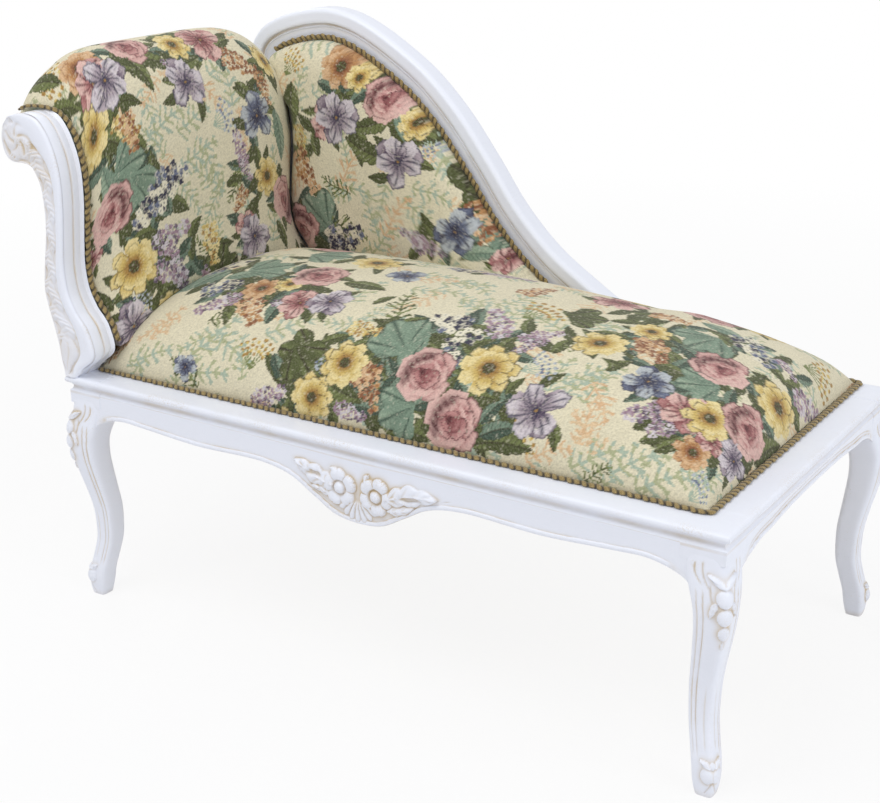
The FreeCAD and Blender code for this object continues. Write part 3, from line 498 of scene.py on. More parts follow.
def railPart(start, end, low, carve=None, spacing=0.004):
    # the moulding over a flat face, carried from start to end with the seat on its left: low gives
    # the lower edge, carve the relief of the face, both at distances from the middle
    start, end = np.array(start + (0,), float), np.array(end + (0,), float)
    length = np.linalg.norm(end - start)
    along = (end - start) / length
    inward = np.array([-along[1], along[0], 0])
    s = np.linspace(0, length, int(length / spacing))
    if carve:
        first, last, step = apron["finely"]
        s = np.concatenate([s[s < first], np.arange(first, last, step), s[s > last]])
    lap, sweep = rail["lap"], rail["sweep"]
    ends = (sweep + lap) * np.linspace(0, 1, 17)**2 - lap
    s = np.concatenate([ends, s[(s > sweep) & (s < length - sweep)], length - ends[::-1]])
    toEnd = np.minimum(s, length - s)
    # the lower edge swells a little, then falls to the leg in a quarter round
    rest = np.clip(1 - (toEnd + lap) / (sweep + lap), 0, 1)
    lowEdge = low(np.clip(s, 0, length) - length / 2, length / 2)
    lowEdge = lowEdge - rail["drop"] * (1 - np.sqrt(1 - rest**2)) + 0.0035 * bump(toEnd - 0.045, 0.03)
    moulding = railColumns()
    k = np.linspace(0, 1, 78 if carve else 34)[1:]
    z = moulding[-1, 1] + (lowEdge[:, None] - moulding[-1, 1]) * k
    # a bead along the lower edge with a line over it, both fading towards the legs
    slope = np.clip(np.gradient(lowEdge, s), -0.8, 0.8)[:, None]
    above = (z - lowEdge[:, None]) / np.sqrt(1 + slope**2)
    half = rail["bead"] / 2
    relief = rail["beadProud"] * np.sqrt(np.clip(1 - ((above - half) / half)**2, 0, 1))
    relief = relief - rail["lineWidth"] * bump(above - rail["lineAbove"], rail["lineWidth"])
    relief = relief * smoothStep(toEnd, 0.004, 0.024)[:, None]
    if carve:
        height, field = carve(s[:, None] - length / 2, z)
        relief = np.maximum(relief * (1 - field), height)
    flange = chaise["zTop"] - rail["flange"]
    inner = np.array([(rail["body"], 0), (rail["body"], flange), (chaise["postSide"], flange)])
    outside, inside = (np.broadcast_to(p, (len(s),) + p.shape) for p in (moulding, inner))
    across = np.concatenate([outside[..., 0], rail["faceInset"] - relief, inside[..., 0]], 1)
    heights = np.concatenate([outside[..., 1], z, inside[..., 1]], 1)
    heights[:, -3] = lowEdge
    inLeg = 0.0006 * smoothStep(-toEnd, -0.0002, 0.0004)[:, None]
    points = start + along * s[:, None, None] + inward * (across + inLeg)[..., None]
    points[..., 2] = heights - inLeg
    wash = np.maximum(hollows(relief, 10, 0.0007), 0.75 * hollows(relief, 60, 0.0016))
    around = ((0, 0), (len(moulding), len(inner)))
    return surface(points, wearMoulding(np.pad(wash, around), np.pad(crests(relief, 5, 0.0006), around)))


def apronCarving(x, z):
    # two blossoms over short reeds, and a curled leaf with a sunk middle to each side
    x, z = np.broadcast_arrays(x, z)
    height = carvedShell(x, z - apron["shellTop"], apron["shellReach"], apron["shellRise"], apron["reeds"])
    for leaf in apron["leaves"]:
        height = np.maximum(height, carvedLeaf(x, z, *leaf))
    for x0, z0, wide, lean, climb in apron["sunk"]:
        across, above = x - x0 + lean * (z - z0), z - z0 - climb * (x - x0)
        height = height - apron["sunkDepth"] * np.exp(-(across / wide)**2 - (above / apron["sunkHalf"])**2)
    for x0, z0, turn in apron["blossoms"]:
        height = np.maximum(height, blossom(x - x0, z - z0, apron["blossomSize"], apron["blossomRise"], turn))
    lines = np.minimum.reduce([grooveLine(x, z, points, apron["groove"], apron["groove"])
                               for points in apron["grooves"]])
    return np.where(height > 0.0003, height, lines), smoothStep(height, 0.0, 0.0015)


def apronLow(x, half):
    # the apron's lower edge, the same to both sides of its middle
    curve = smoothLine([(-far, z) for far, z in apronLine[:0:-1]] + apronLine, 900)
    return np.interp(x, curve[:, 0], curve[:, 1])


def archedLow(rise):
    # a plain rail's lower edge, which rises from the legs to its middle
    curve = smoothLine([(-1.0, 0.0), (-0.72, 0.52), (-0.40, 0.90), (0.0, 1.0), (0.40, 0.90), (0.72, 0.52),
                        (1.0, 0.0)], 400)
    return lambda x, half: chaise["zRail"] + rise * np.interp(x / half, curve[:, 0], curve[:, 1])


def makeRails():
    # round the frame from post to post
    x0, x1, y0, y1 = (chaise[key] for key in ("xHead", "xFoot", "yFront", "yRear"))
    side, arched = chaise["postSide"], archedLow(rail["arch"])
    for name, node, start, end, low, carve, spacing in (
            ("frontRail", "front_rail", (x0 + side, y0), (x1 - side, y0), apronLow, apronCarving, 0.004),
            ("rearRail", "rear_rail", (x1 - side, y1), (x0 + side, y1), archedLow(0.0), None, 0.006),
            ("footRail", "foot_rail", (x1, y0 + side), (x1, y1 - side), arched, None, 0.004),
            ("headRail", "head_rail", (x0, y1 - side), (x0, y0 + side), arched, None, 0.004)):
        addPiece(name, [railPart(start, end, low, carve, spacing)], whitePaint, [node])


makeRails()


# Cabriole legs, each worked out for the corner at the origin with the frame towards +x and +y

leg = {"rings": 300, "around": 128, "squareness": 4.6, "postLow": 0.330, "edgeLines": (0.0275, 0.0350),
       "sweeps": ((0.040, 0.332, 0.300), (0.030, 0.334, 0.292), (0.021, 0.308, 0.268))}
# each ring's height, where its outer faces stand, and its breadth
legLine = [(0.350, 0.0075, 0.058), (0.335, 0.0045, 0.060), (0.315, 0.0018, 0.0592), (0.290, -0.0028, 0.0555),
           (0.268, -0.0041, 0.0505), (0.240, -0.0015, 0.0465), (0.208, 0.0045, 0.0428),
           (0.180, 0.0105, 0.0395), (0.151, 0.0155, 0.0372), (0.125, 0.0172, 0.0355),
           (0.098, 0.0169, 0.0342), (0.070, 0.0120, 0.0338), (0.044, 0.0065, 0.0337),
           (0.022, 0.0052, 0.0320), (0.008, 0.0066, 0.0280), (0.0, 0.0082, 0.0245)]
# domes of the knee's drop and of the foot: distance from the ridge, height, half width, half height,
# rise, and how fast the width tapers downwards
legDomes = [(0, 0.2900, 0.0150, 0.0128, 0.0056, 0), (0, 0.2655, 0.0135, 0.0124, 0.0054, 0),
            (0, 0.2420, 0.0100, 0.0118, 0.0046, 0.18), (0, 0.2240, 0.0050, 0.0075, 0.0030, 0),
            (0.0085, 0.033, 0.0095, 0.0110, 0.0046, 0), (0, 0.047, 0.0060, 0.0065, 0.0032, 0)]
legLeaves = [((0.001, 0.301), (0.025, 0.3180), 0.010, 0.0042, 1, 0.001),
             ((0.014, 0.284), (0.0225, 0.262), 0.010, 0.0030, 2, 0.001),
             ((0.004, 0.044), (0.018, 0.053), 0.010, 0.0032, 1)]


def legCarving(z, breadth, ridge):
    # relief of the two outer faces: ridge is the distance from their common corner, below zero on one
    half = np.abs(ridge)
    carved = np.zeros(np.broadcast(z, ridge).shape)
    for away, at, wide, tall, rise, taper in legDomes:
        wide = wide - taper * np.clip(at - z, 0, 0.012)
        carved = np.maximum(carved, boss(half - away, z - at, wide, tall, rise))
    for leaf in legLeaves:
        for side in (ridge, -ridge):
            carved = np.maximum(carved, carvedLeaf(side, z, *leaf))
    # paired lines down both edges, a pair in the middle of the shin, stalks and curves round the drop
    scale = np.clip(breadth / 0.043, 0.6, 1.2)
    near, far = (bump(half - line * scale, 0.0012) for line in leg["edgeLines"])
    inSpan = smoothStep(z, 0.050, 0.070) * (1 - smoothStep(z, 0.285, 0.30))
    inShin = smoothStep(z, 0.060, 0.075) * (1 - smoothStep(z, 0.13, 0.16))
    lines = -0.0013 * (near + 0.9 * far) * inSpan - 0.0008 * bump(half - 0.0105, 0.0016) * inShin
    lines = lines - 0.0012 * bump(half - 0.0025 - 0.45 * (0.024 - z), 0.0012) * (z < 0.024) * (z > 0.006)
    for reach, top, low in leg["sweeps"]:
        bow = reach + 0.006 * np.sin(np.pi * np.clip((top - z) / (top - low), 0, 1)) - 0.25 * (top - z)
        fade = smoothStep(z, low, low + 0.008) * (1 - smoothStep(z, top - 0.008, top))
        lines = lines - 0.0015 * bump(half - bow, 0.0016) * fade
    return np.where(carved > 0.0004, carved, lines)


def legPart():
    # rings from the moulding down to the floor: each is a rounded square, the cosine and sine of the
    # turn to the power of two over the squareness
    z, outerAt, breadth = smoothLine(legLine, leg["rings"]).T
    turn = np.linspace(0, 2 * np.pi, leg["around"], endpoint=False)
    ring = np.stack([np.cos(turn), np.sin(turn)], 1)
    ring = np.sign(ring) * np.abs(ring)**(2 / leg["squareness"])
    ring = evenLine(np.concatenate([ring, ring[:1]]), leg["around"] + 1)[:-1]
    normal = np.sign(ring) * np.abs(ring)**(leg["squareness"] - 1)
    normal /= np.linalg.norm(normal, axis=1)[:, None]
    cx, cy = ring.T
    half = breadth[:, None] / 2
    onOuter = (cx < 0.999) & ((cy < -0.55) | (cx < -0.55))
    ridge = np.where(onOuter, np.where(cy < cx, (cx + 1) * half, -(cy + 1) * half), 0.06)
    relief = np.where(onOuter, legCarving(z[:, None], breadth[:, None], ridge), 0)
    points = np.zeros(relief.shape + (3,))
    points[..., :2] = outerAt[:, None, None] + half[..., None] * (1 + ring) + relief[..., None] * normal
    points[..., 2] = z[:, None]
    patina = np.maximum(hollows(relief, 8, 0.0007), 0.9 * hollows(relief, 40, 0.0012))
    # the lowest 12 mm of each foot is tinted darker
    patina = np.maximum(patina, 0.4 * (1 - smoothStep(z, 0.0, 0.012))[:, None])
    edge = crests(relief, 5, 0.0006) + 0.5 * bump(ridge, 0.003)
    return points, {"patina": np.clip(patina, 0, 1), "edge": np.clip(edge, 0, 1)}


def postPart():
    # the rails' moulding taken round the corner in a mitre, over the knee
    side, low = chaise["postSide"], leg["postLow"]
    moulding = railColumns()
    down = np.linspace(moulding[-1, 1], low, 12)[1:]
    face = np.stack([np.full(11, rail["faceInset"]), down], 1)
    u, z = np.concatenate([moulding, face, [[side, low]]]).T
    points = np.array([np.stack([np.maximum(x, u), np.maximum(y, u), z], 1) for x, y in (
        (side, 0), (0.5 * side, 0), (0.012, 0), (0, 0), (0, 0.012), (0, 0.5 * side), (0, side))])
    return points, wearMoulding(np.zeros(points.shape[:2]), np.zeros(points.shape[:2]))


def atCorner(points, x, y):
    # from the corner at the origin to the one at x and y, turned over so that it faces outwards
    return points * [-np.sign(x), -np.sign(y), 1] + [x, y, 0]


def makeLegs():
    shapes = legPart(), postPart()
    for name, node, x, y in (("frontHeadLeg", "front_head_leg", "xHead", "yFront"),
                             ("rearHeadLeg", "rear_head_leg", "xHead", "yRear"),
                             ("frontFootLeg", "front_foot_leg", "xFoot", "yFront"),
                             ("rearFootLeg", "rear_foot_leg", "xFoot", "yRear")):
        parts = [surface(atCorner(points, chaise[x], chaise[y]), values) for points, values in shapes]
        addPiece(name, parts, whitePaint, [node])


makeLegs()


# Scrolled uprights of the head end

upright = {"rings": 420, "face": 44, "side": 34, "round": 0.005, "depth": 0.048, "groove": 0.0022,
           "swell": 0.0046, "leafRise": 0.0040, "leafStep": 0.046, "volute": (0.226, 0.90),
           "voluteRadius": 0.028, "rearLower": 0.008}
# points on its outer and inner outline that face each other, as shares of its span and height
uprightPairs = [((0.568, 0.0), (0.716, 0.0)), ((0.535, 0.05), (0.80, 0.035)), ((0.51, 0.12), (0.985, 0.105)),
                ((0.470, 0.19), (0.93, 0.195)), ((0.415, 0.27), (0.79, 0.265)),
                ((0.387, 0.3325), (0.705, 0.335)), ((0.405, 0.40), (0.677, 0.42)),
                ((0.442, 0.48), (0.690, 0.50)), ((0.480, 0.57), (0.712, 0.58)),
                ((0.488, 0.66), (0.735, 0.67)), ((0.461, 0.74), (0.738, 0.76)),
                ((0.375, 0.80), (0.716, 0.8275)), ((0.25, 0.812), (0.669, 0.886)),
                ((0.135, 0.8125), (0.60, 0.94)), ((0.06, 0.823), (0.51, 0.98)),
                ((0.018, 0.848), (0.42, 0.995)), ((0.0, 0.8925), (0.33, 1.0)),
                ((0.02, 0.93), (0.26, 0.998)), ((0.065, 0.958), (0.19, 0.992)),
                ((0.105, 0.975), (0.13, 0.983))]


def uprightPlace(share):
    share = np.asarray(share, float)
    return np.stack([chaise["xScroll"] + share[..., 0] * chaise["uprightSpan"],
                     chaise["zTop"] + share[..., 1] * chaise["uprightHeight"]], -1)


def uprightRelief(place, share, run):
    # the front face: a swelling band along its inner half, a sunk band of leaves along the outer
    # half, a long lobe at the foot, and curved flutes winding into the eye of the volute
    x, z = np.moveaxis(place - uprightPlace(upright["volute"]), -1, 0)
    r, turn = np.hypot(x, z), np.arctan2(z, x)
    radius = upright["voluteRadius"]
    inVolute = 1 - smoothStep(r, radius * 0.80, radius * 1.05)
    flutes = 0.5 + 0.5 * np.cos(5 * turn + 9 * np.sqrt(np.clip(r / radius, 0, 2)))
    scroll = -0.0022 * (1 - flutes**0.6) * smoothStep(r, 0.004, 0.009)
    scroll = scroll + 0.0012 * np.sqrt(np.clip(1 - (r / 0.0060)**2, 0, 1))
    swell = -upright["swell"] * (1 - np.sqrt(np.clip(1 - ((share - 0.80) / 0.20)**2, 0, 1)))
    low = -upright["swell"] + 0.0030 * bump(share - 0.03, 0.05)
    # leaves one above another: their middle line and their ends sway with the run
    k = (share - 0.31) / 0.26
    beat = run / upright["leafStep"]
    lean = k + 0.45 * np.sin(2 * np.pi * beat)
    lobe = (0.5 + 0.5 * np.cos(2 * np.pi * (beat + 0.35 * k)))**0.7
    leaves = upright["leafRise"] * np.sqrt(np.clip(1 - (lean / 0.95)**2, 0, 1)) * (0.35 + 0.65 * lobe)
    leaves = leaves * (0.82 + 0.18 * np.cos(2 * np.pi * (5 * beat + 0.9 * np.abs(lean))))
    foot = 1 - smoothStep(run, 0.045, 0.075)
    reach = 0.02 + 0.24 * np.sin(np.pi * np.clip(run / 0.072, 0, 1))**0.7
    long = np.sqrt(np.clip(1 - ((share - 0.30) / reach)**2, 0, 1))
    long = long * (upright["leafRise"] - 0.0012 * bump(share - 0.30, 0.05))
    leaves = leaves * (1 - foot) + foot * long
    band = np.where(share > 0.60, swell, low + leaves * smoothStep(share, 0.05, 0.09))
    return (band * (1 - inVolute) + scroll * inVolute) * smoothStep(run, 0.0, 0.010)


def uprightPart(atRear):
    # carried along the outline: the carved front face with its rims rounded over, the moulded inner
    # side, then the plain rear face and outer side
    both = smoothLine(np.array(uprightPairs).reshape(-1, 4), 900)
    line = evenLine(np.concatenate([uprightPlace(both[:, :2]), uprightPlace(both[:, 2:])], 1),
                    upright["rings"])
    outer, inner = line[:, :2], line[:, 2:]
    width = np.linalg.norm(inner - outer, axis=1)[:, None]
    across = ((inner - outer) / width)[:, None]
    run = runAlong((outer + inner) / 2)[:, None]
    rounding = np.minimum(upright["round"], width * 0.32)
    depth, yFront = upright["depth"], chaise["yFront"]
    even = np.linspace(0, 1, upright["face"])[None, :]
    w = (0.35 * (0.5 - 0.5 * np.cos(np.pi * even)) + 0.65 * even) * width
    near = np.minimum(w, width - w)
    fall = rounding - np.sqrt(np.clip(rounding**2 - np.clip(rounding - near, 0, None)**2, 0, None))
    place = outer[:, None] + across * w[..., None]
    relief = uprightRelief(place, w / width, run)
    # down the inner side: a wide swelling band, a groove, and a bevel towards the braid
    y = rounding + (depth - 2 * rounding) * np.linspace(0, 1, upright["side"])[None, :]
    k = y / depth
    swell = 0.0030 * np.sqrt(np.clip(1 - ((k - 0.27) / 0.27)**2, 0, 1))
    moulded = swell - upright["groove"] * bump(k - 0.56, 0.035) - 0.0032 * smoothStep(k, 0.60, 1.0)
    moulded = moulded * smoothStep(run, 0.0, 0.03) * (1 - smoothStep(run, run[-1] * 0.93, run[-1]))
    back = np.stack([inner, inner + (outer - inner) * 0.5, outer], 1)
    yOut = np.linspace(depth - 0.004, rounding[:, 0], 8).T
    points = np.concatenate([stood(place, yFront + fall - relief),
                             stood(inner[:, None] + across * (moulded - 0.0015)[..., None], yFront + y),
                             stood(back, yFront + depth),
                             stood(np.repeat(outer[:, None], 8, 1), yFront + yOut)], 1)
    wash = np.maximum(hollows(relief, 8, 0.0009), 0.6 * hollows(relief, 30, 0.0020))
    # painted shade: the whole outer half of the front face is tinted darker with the wash
    wash = wash + 0.22 * (1 - smoothStep(w / width, 0.50, 0.62))
    sideWash = 0.9 * bump(k - 0.56, 0.05) + 0.2 * smoothStep(k, 0.7, 1.0)
    rows = len(points)
    patina = np.concatenate([wash, sideWash, np.zeros((rows, 3)), np.full((rows, 8), 0.1)], 1)
    rubbed = crests(relief, 5, 0.0006) + 0.4 * bump(near, 0.003)
    edge = np.pad(rubbed, ((0, 0), (0, upright["side"] + 11)))
    if atRear:
        top = chaise["zTop"] + chaise["uprightHeight"] - upright["rearLower"]
        points[..., 1] *= -1
        points[..., 2] = np.minimum(points[..., 2], top)
    return surface(points, {"patina": np.clip(patina, 0, 1), "edge": np.clip(edge, 0, 1)})


addPiece("frontHeadUpright", [uprightPart(False)], whitePaint, ["front_head_upright"])
addPiece("rearHeadUpright", [uprightPart(True)], whitePaint, ["rear_head_upright"])


# Sweeping top rail of the back

backRail = {"rings": 620, "width": 0.055, "start": -0.581, "length": 0.835, "rise": 0.502,
            "yFront": 0.259, "yRear": 0.300, "outerRound": 0.008, "rearRound": 0.006}
# points along its outer edge, as shares of its length and rise
backShares = [(0.0, 0.781), (0.010, 0.866), (0.035, 0.918), (0.065, 0.948), (0.105, 0.973),
              (0.158, 0.993), (0.21, 1.0), (0.262, 0.987), (0.318, 0.951), (0.378, 0.896),
              (0.446, 0.82), (0.52, 0.703), (0.59, 0.557), (0.66, 0.40), (0.735, 0.278),
              (0.82, 0.183), (0.91, 0.092), (1.0, 0.0), (1.04, -0.042)]


def backEdge(count):
    share = smoothLine(backShares, count)
    return np.stack([backRail["start"] + share[:, 0] * backRail["length"],
                     chaise["zTop"] + share[:, 1] * backRail["rise"]], 1)


def backRailPart():
    # across from the outer edge: a rounded band, a line, a small ridge and a bevel to the braid
    edgeLine = evenLine(backEdge(1200), backRail["rings"])
    deep, r, q = backRail["yRear"] - backRail["yFront"], backRail["outerRound"], backRail["rearRound"]
    u = np.concatenate([r * (1 - np.cos(np.linspace(0, np.pi / 2, 8))),
                        np.linspace(r + 0.001, backRail["width"], 44)])
    band = r - np.sqrt(np.clip(r**2 - np.clip(r - u, 0, None)**2, 0, None))
    swell = 0.0030 * np.sqrt(np.clip(1 - ((u - 0.013) / 0.013)**2, 0, 1))
    step = 0.0042 * smoothStep(u, 0.0245, 0.0262)
    ridge = 0.0016 * bump(u - 0.0300, 0.0014)
    bevel = 0.0015 * smoothStep(u, 0.033, 0.047)
    y = np.clip(band + 0.0026 - swell + step - ridge + bevel, 0.0, None)
    corner = np.linspace(0, np.pi / 2, 6)[1:]
    section = np.concatenate([np.stack([u, y], 1),
                              np.stack([np.linspace(backRail["width"], q, 6), np.full(6, deep)], 1),
                              np.stack([q - q * np.sin(corner), deep - q + q * np.cos(corner)], 1),
                              np.stack([np.zeros(3), np.linspace(deep - 0.010, 0.012, 3)], 1)])
    points = stood(edgeLine[:, None] + rightHand(edgeLine)[:, None] * section[None, :, :1],
                   backRail["yFront"] + section[:, 1])
    points[..., 2] = np.maximum(points[..., 2], chaise["zTop"] - 0.0008)
    patina, edge = np.zeros((2, len(section)))
    patina[:len(u)] = 0.75 * bump(u - 0.0268, 0.0018) + 0.25 * bump(u - 0.034, 0.002)
    edge[:len(u)] = 0.5 * bump(u - 0.0295, 0.0015) + 0.35 * bump(u - 0.023, 0.002)
    return surface(points, {"patina": patina[None, :], "edge": edge[None, :]})


addPiece("backTopRail", [backRailPart()], whitePaint, ["back_top_rail"])

for node in ("head_top_rail", "head_lower_rail", "back_lower_rail", "back_post", "corner_blocks"):
    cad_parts[node].data.materials.clear()
    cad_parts[node].data.materials.append(beech)
print("wood ready")


# Forms of the padded pieces

seat = {"headInset": 0.026, "footInset": 0.0523, "front": -0.2527, "rear": 0.2912, "narrow": 0.2587,
        "tail": 0.265, "bend": 0.068, "foot": chaise["zTop"] + 0.0003, "crown": 0.145, "fullness": 0.8,
        "rows": 480, "columns": 370, "fill": 0.75}
seatHeights = [(0.0, 0.02), (0.006, 0.30), (0.025, 0.57), (0.075, 0.86), (0.22, 0.985), (0.40, 1.0),
               (0.55, 0.995), (0.733, 0.91), (0.80, 0.84), (0.90, 0.69), (0.965, 0.50),
               (0.99, 0.28), (1.0, 0.02)]


def seatCurve():
    # crown of the seat along its length: height over the frame against x, at even distances
    x0, x1 = chaise["xHead"] + seat["headInset"], chaise["xFoot"] - seat["footInset"]
    return smoothLine(np.array(seatHeights) * [x1 - x0, seat["crown"]] + [x0, 0], 1600)


seatProfile = seatCurve()


def seatSpan(x):
    # middle and half of the seat's breadth at a place along it, narrower beside the back
    wider = smoothStep(x, seat["tail"], seat["tail"] + seat["bend"])
    rear = seat["narrow"] + (seat["rear"] - seat["narrow"]) * wider
    return (rear + seat["front"]) / 2, (rear - seat["front"]) / 2


def seatTop(x, y):
    # height of the seat over the floor at a place on the plan, below the frame outside it
    height = np.interp(x, seatProfile[:, 0], seatProfile[:, 1], left=-1, right=-1)
    middle, half = seatSpan(x)
    share = np.clip(np.abs(y - middle) / half, 0, 1)**(1 / seat["fullness"])
    return seat["foot"] + height * np.sqrt(np.clip(1 - share**2, 0, 1))


def seatPart():
    # sections across, under the crown: the height follows a sine, the breadth a cosine to the power
    # of the fullness
    line = evenLine(seatProfile, seat["rows"])
    turn = np.linspace(0, np.pi, 900)
    unit = np.stack([-np.sign(np.cos(turn)) * np.abs(np.cos(turn))**seat["fullness"], np.sin(turn)], 1)
    points = np.zeros((seat["rows"], seat["columns"], 3))
    cloth = np.zeros(points.shape)
    points[..., 0] = line[:, :1]
    cloth[..., 0] = runAlong(line)[:, None]
    for i, (x, height) in enumerate(line):
        middle, half = seatSpan(x)
        section = evenLine(unit * [half, height], seat["columns"])
        points[i, :, 1:] = section + [middle, seat["foot"]]
        length = runAlong(section)[-1]
        cloth[i, :, 1] = np.linspace(-length / 2, length / 2, seat["columns"])
    return points, cloth


headEdge = [(0.987, 0.105), (0.903, 0.2075), (0.729, 0.295), (0.6645, 0.39), (0.69, 0.545),
            (0.729, 0.6975), (0.703, 0.8275), (0.606, 0.9325), (0.432, 0.9925), (0.1935, 1.0),
            (0.0387, 0.9475), (0.013, 0.8925), (0.1355, 0.83), (0.32, 0.815), (0.372, 0.785)]
headCrown = [(1.058, 0.1425), (1.071, 0.2675), (1.058, 0.3675), (1.032, 0.4675), (1.019, 0.5925),
             (1.006, 0.7425), (0.955, 0.9175), (0.80, 1.08), (0.542, 1.18), (0.31, 1.2),
             (0.071, 1.1675), (0.013, 1.08), (0.0516, 0.9675), (0.232, 0.855), (0.372, 0.785)]
headBehind = [(-0.5085, 0.6868), (-0.4835, 0.4320), (-0.4835, 0.4160)]
head = {"half": 0.2457, "frontFullness": 8.0, "rearFullness": 4.6, "rows": 440, "columns": 250,
        "fill": 0.8}


def crownShare(share):
    # how far the outline has risen to the crown: sharply behind the front upright, gently at the rear
    power = np.where(share < 0, head["frontFullness"], head["rearFullness"])
    return 1 - np.abs(share)**power


def headSections(shares):
    # outlines across the pad, smooth over the roll, between the one at the uprights and the crown
    edge, crown = uprightPlace(headEdge), uprightPlace(headCrown)
    return np.array([smoothLine(edge + crownShare(share) * (crown - edge), head["rows"])
                     for share in shares])


def overScroll(points, weight):
    # towards the volute the pad's front edge draws forward and outward over the top of the upright
    run = (points[..., 0] - chaise["xScroll"]) / chaise["uprightSpan"]
    tall = (points[..., 2] - chaise["zTop"]) / chaise["uprightHeight"]
    weight = weight * smoothStep(0.55 - run, 0.0, 0.45) * smoothStep(tall, 0.84, 0.94)
    return points + weight[..., None] * np.array([-0.006, -0.018, 0.002])


def headPart():
    # the outline carried across, its columns closer together at the sides, where the pad falls to
    # the uprights
    k = np.linspace(-1, 1, head["columns"])
    shares = np.sign(k) * (1 - (1 - np.abs(k))**1.5)
    points = stood(headSections(shares).transpose(1, 0, 2), shares[None, :] * head["half"])
    points = overScroll(points, smoothStep(-shares, 0.80, 1.0)[None, :])
    middle = points.shape[1] // 2
    across = np.pad(np.cumsum(np.linalg.norm(np.diff(points, axis=1), axis=2), 1), ((0, 0), (1, 0)))
    cloth = np.zeros(points.shape)
    cloth[..., 0] = runAlong(points[:, middle])[:, None]
    cloth[..., 1] = across - across[:, middle][:, None]
    # where it meets the seat the pad stands on the seat's cover
    floorAt = seatTop(points[..., 0], points[..., 1]) + chaise["padGap"]
    points[..., 2] = np.maximum(points[..., 2], np.where(points[..., 0] > -0.482, floorAt, 0))
    behind = np.array([[(x, y, z) for y in points[0, :, 1]] for x, z in headBehind])
    ring = np.concatenate([points, behind], 0)
    clothRing = np.concatenate([cloth, np.repeat(cloth[-1:], len(behind), 0)], 0)
    return ring.transpose(1, 0, 2), clothRing.transpose(1, 0, 2)


def headFront(y, z):
    # how far the head pad reaches towards the foot at a height, piece by piece up its outline
    k = crownShare(np.clip(y / head["half"], -1, 1))
    edge, crown = uprightPlace(headEdge)[:10], uprightPlace(headCrown)[:10]
    line = [edge[i] + k[..., None] * (crown[i] - edge[i]) for i in range(10)]
    reach = np.full(z.shape, -1.0)
    for a, b in zip(line, line[1:]):
        part = (z - a[..., 1]) / (b[..., 1] - a[..., 1])
        reach = np.where((part >= 0) & (part < 1), a[..., 0] + part * (b[..., 0] - a[..., 0]), reach)
    return reach


back = {"yBase": 0.2637, "crown": 0.060, "heart": (0.30, 0.43), "around": 620, "out": 150,
        "underRail": 0.0020, "fill": 0.7}
# size and fall of its rings, as shares of the outline and of the crown
backSizes = [(0.0, 1.02), (0.25, 1.015), (0.5, 1.0), (0.80, 0.88), (0.93, 0.68), (0.985, 0.40),
             (1.0, 0.12), (1.0, 0.0)]
# the uprights' inner edge from the scroll down, which the covers and braids beside it follow
innerEdge = [(0.716, 0.8275), (0.742, 0.6975), (0.703, 0.545), (0.677, 0.39), (0.725, 0.305),
             (0.86, 0.235), (0.955, 0.18)]
innerScroll = [(0.445, 0.9925), (0.619, 0.9325)]


def backOutline():
    # under the rail from the scroll to the tail, then up beside the rear upright and round its corner
    edge = backEdge(1200)
    upper = edge + rightHand(edge) * (backRail["width"] - back["underRail"])
    upper = upper[(upper[:, 1] > chaise["zTop"] + 0.012) & (upper[:, 0] > -0.5185)
                  & ((upper[:, 0] > -0.45) | (upper[:, 1] > 0.785))]
    side = smoothLine(uprightPlace(innerScroll + innerEdge), 300)
    side = side - rightHand(side) * 0.011
    side = side[side[:, 1] < 0.742]
    corner = [(-0.4970, 0.7540), (-0.5105, 0.7695), (-0.5185, 0.7830)]
    return np.concatenate([upper, side[::-1], corner])


def backPart():
    # rings from the heart outwards, falling from the crown to the webbing at the rim
    outline = backOutline()
    rim = evenLine(np.concatenate([outline, outline[:1]]), back["around"] + 1)[:-1]
    size = smoothLine(backSizes, back["out"])
    heart = np.array([backRail["start"] + back["heart"][0] * backRail["length"],
                      chaise["zTop"] + back["heart"][1] * backRail["rise"]])
    place = heart + (rim - heart)[None] * np.maximum(size[:, :1, None], 0.002)
    points = stood(place, back["yBase"] - size[:, 1:] * back["crown"])
    # it stands clear of the head's cover beside it and of the seat's below
    reach = headFront(points[..., 1], points[..., 2]) + 0.0010
    points[..., 0] = np.where(reach > -0.9, np.maximum(points[..., 0], reach), points[..., 0])
    floorAt = seatTop(points[..., 0], points[..., 1]) + chaise["padGap"]
    points[..., 2] = np.where(points[..., 0] > -0.48, np.maximum(points[..., 2], floorAt), points[..., 2])
    return points, np.pad(place, ((0, 0), (0, 0), (0, 1)))


# Tapestry pattern: each motif is a few formulas over its own coordinates

groundTone = np.array(tone(220, 212, 184)[:3])


def yarnNoise(u, v, size, seed):
    # one value from 0 to 1 for each yarn crossing: a large sine cut to its fraction
    iu, iv = np.floor(u / size), np.floor(v / size)
    return (np.sin(iu * 12.9898 + iv * 78.233 + seed * 37.719) * 43758.5453) % 1.0


def softNoise(u, v, size, seed):
    # values at the corners of squares, joined smoothly
    a, b = u / size, v / size
    ia, ib = np.floor(a), np.floor(b)
    fa, fb = smoothStep(a - ia, 0, 1), smoothStep(b - ib, 0, 1)
    corner = [(np.sin((ia + p) * 127.1 + (ib + q) * 311.7 + seed * 74.7) * 43758.5453) % 1.0
              for p in (0, 1) for q in (0, 1)]
    low = corner[0] + (corner[1] - corner[0]) * fb
    high = corner[2] + (corner[3] - corner[2]) * fb
    return low + (high - low) * fa


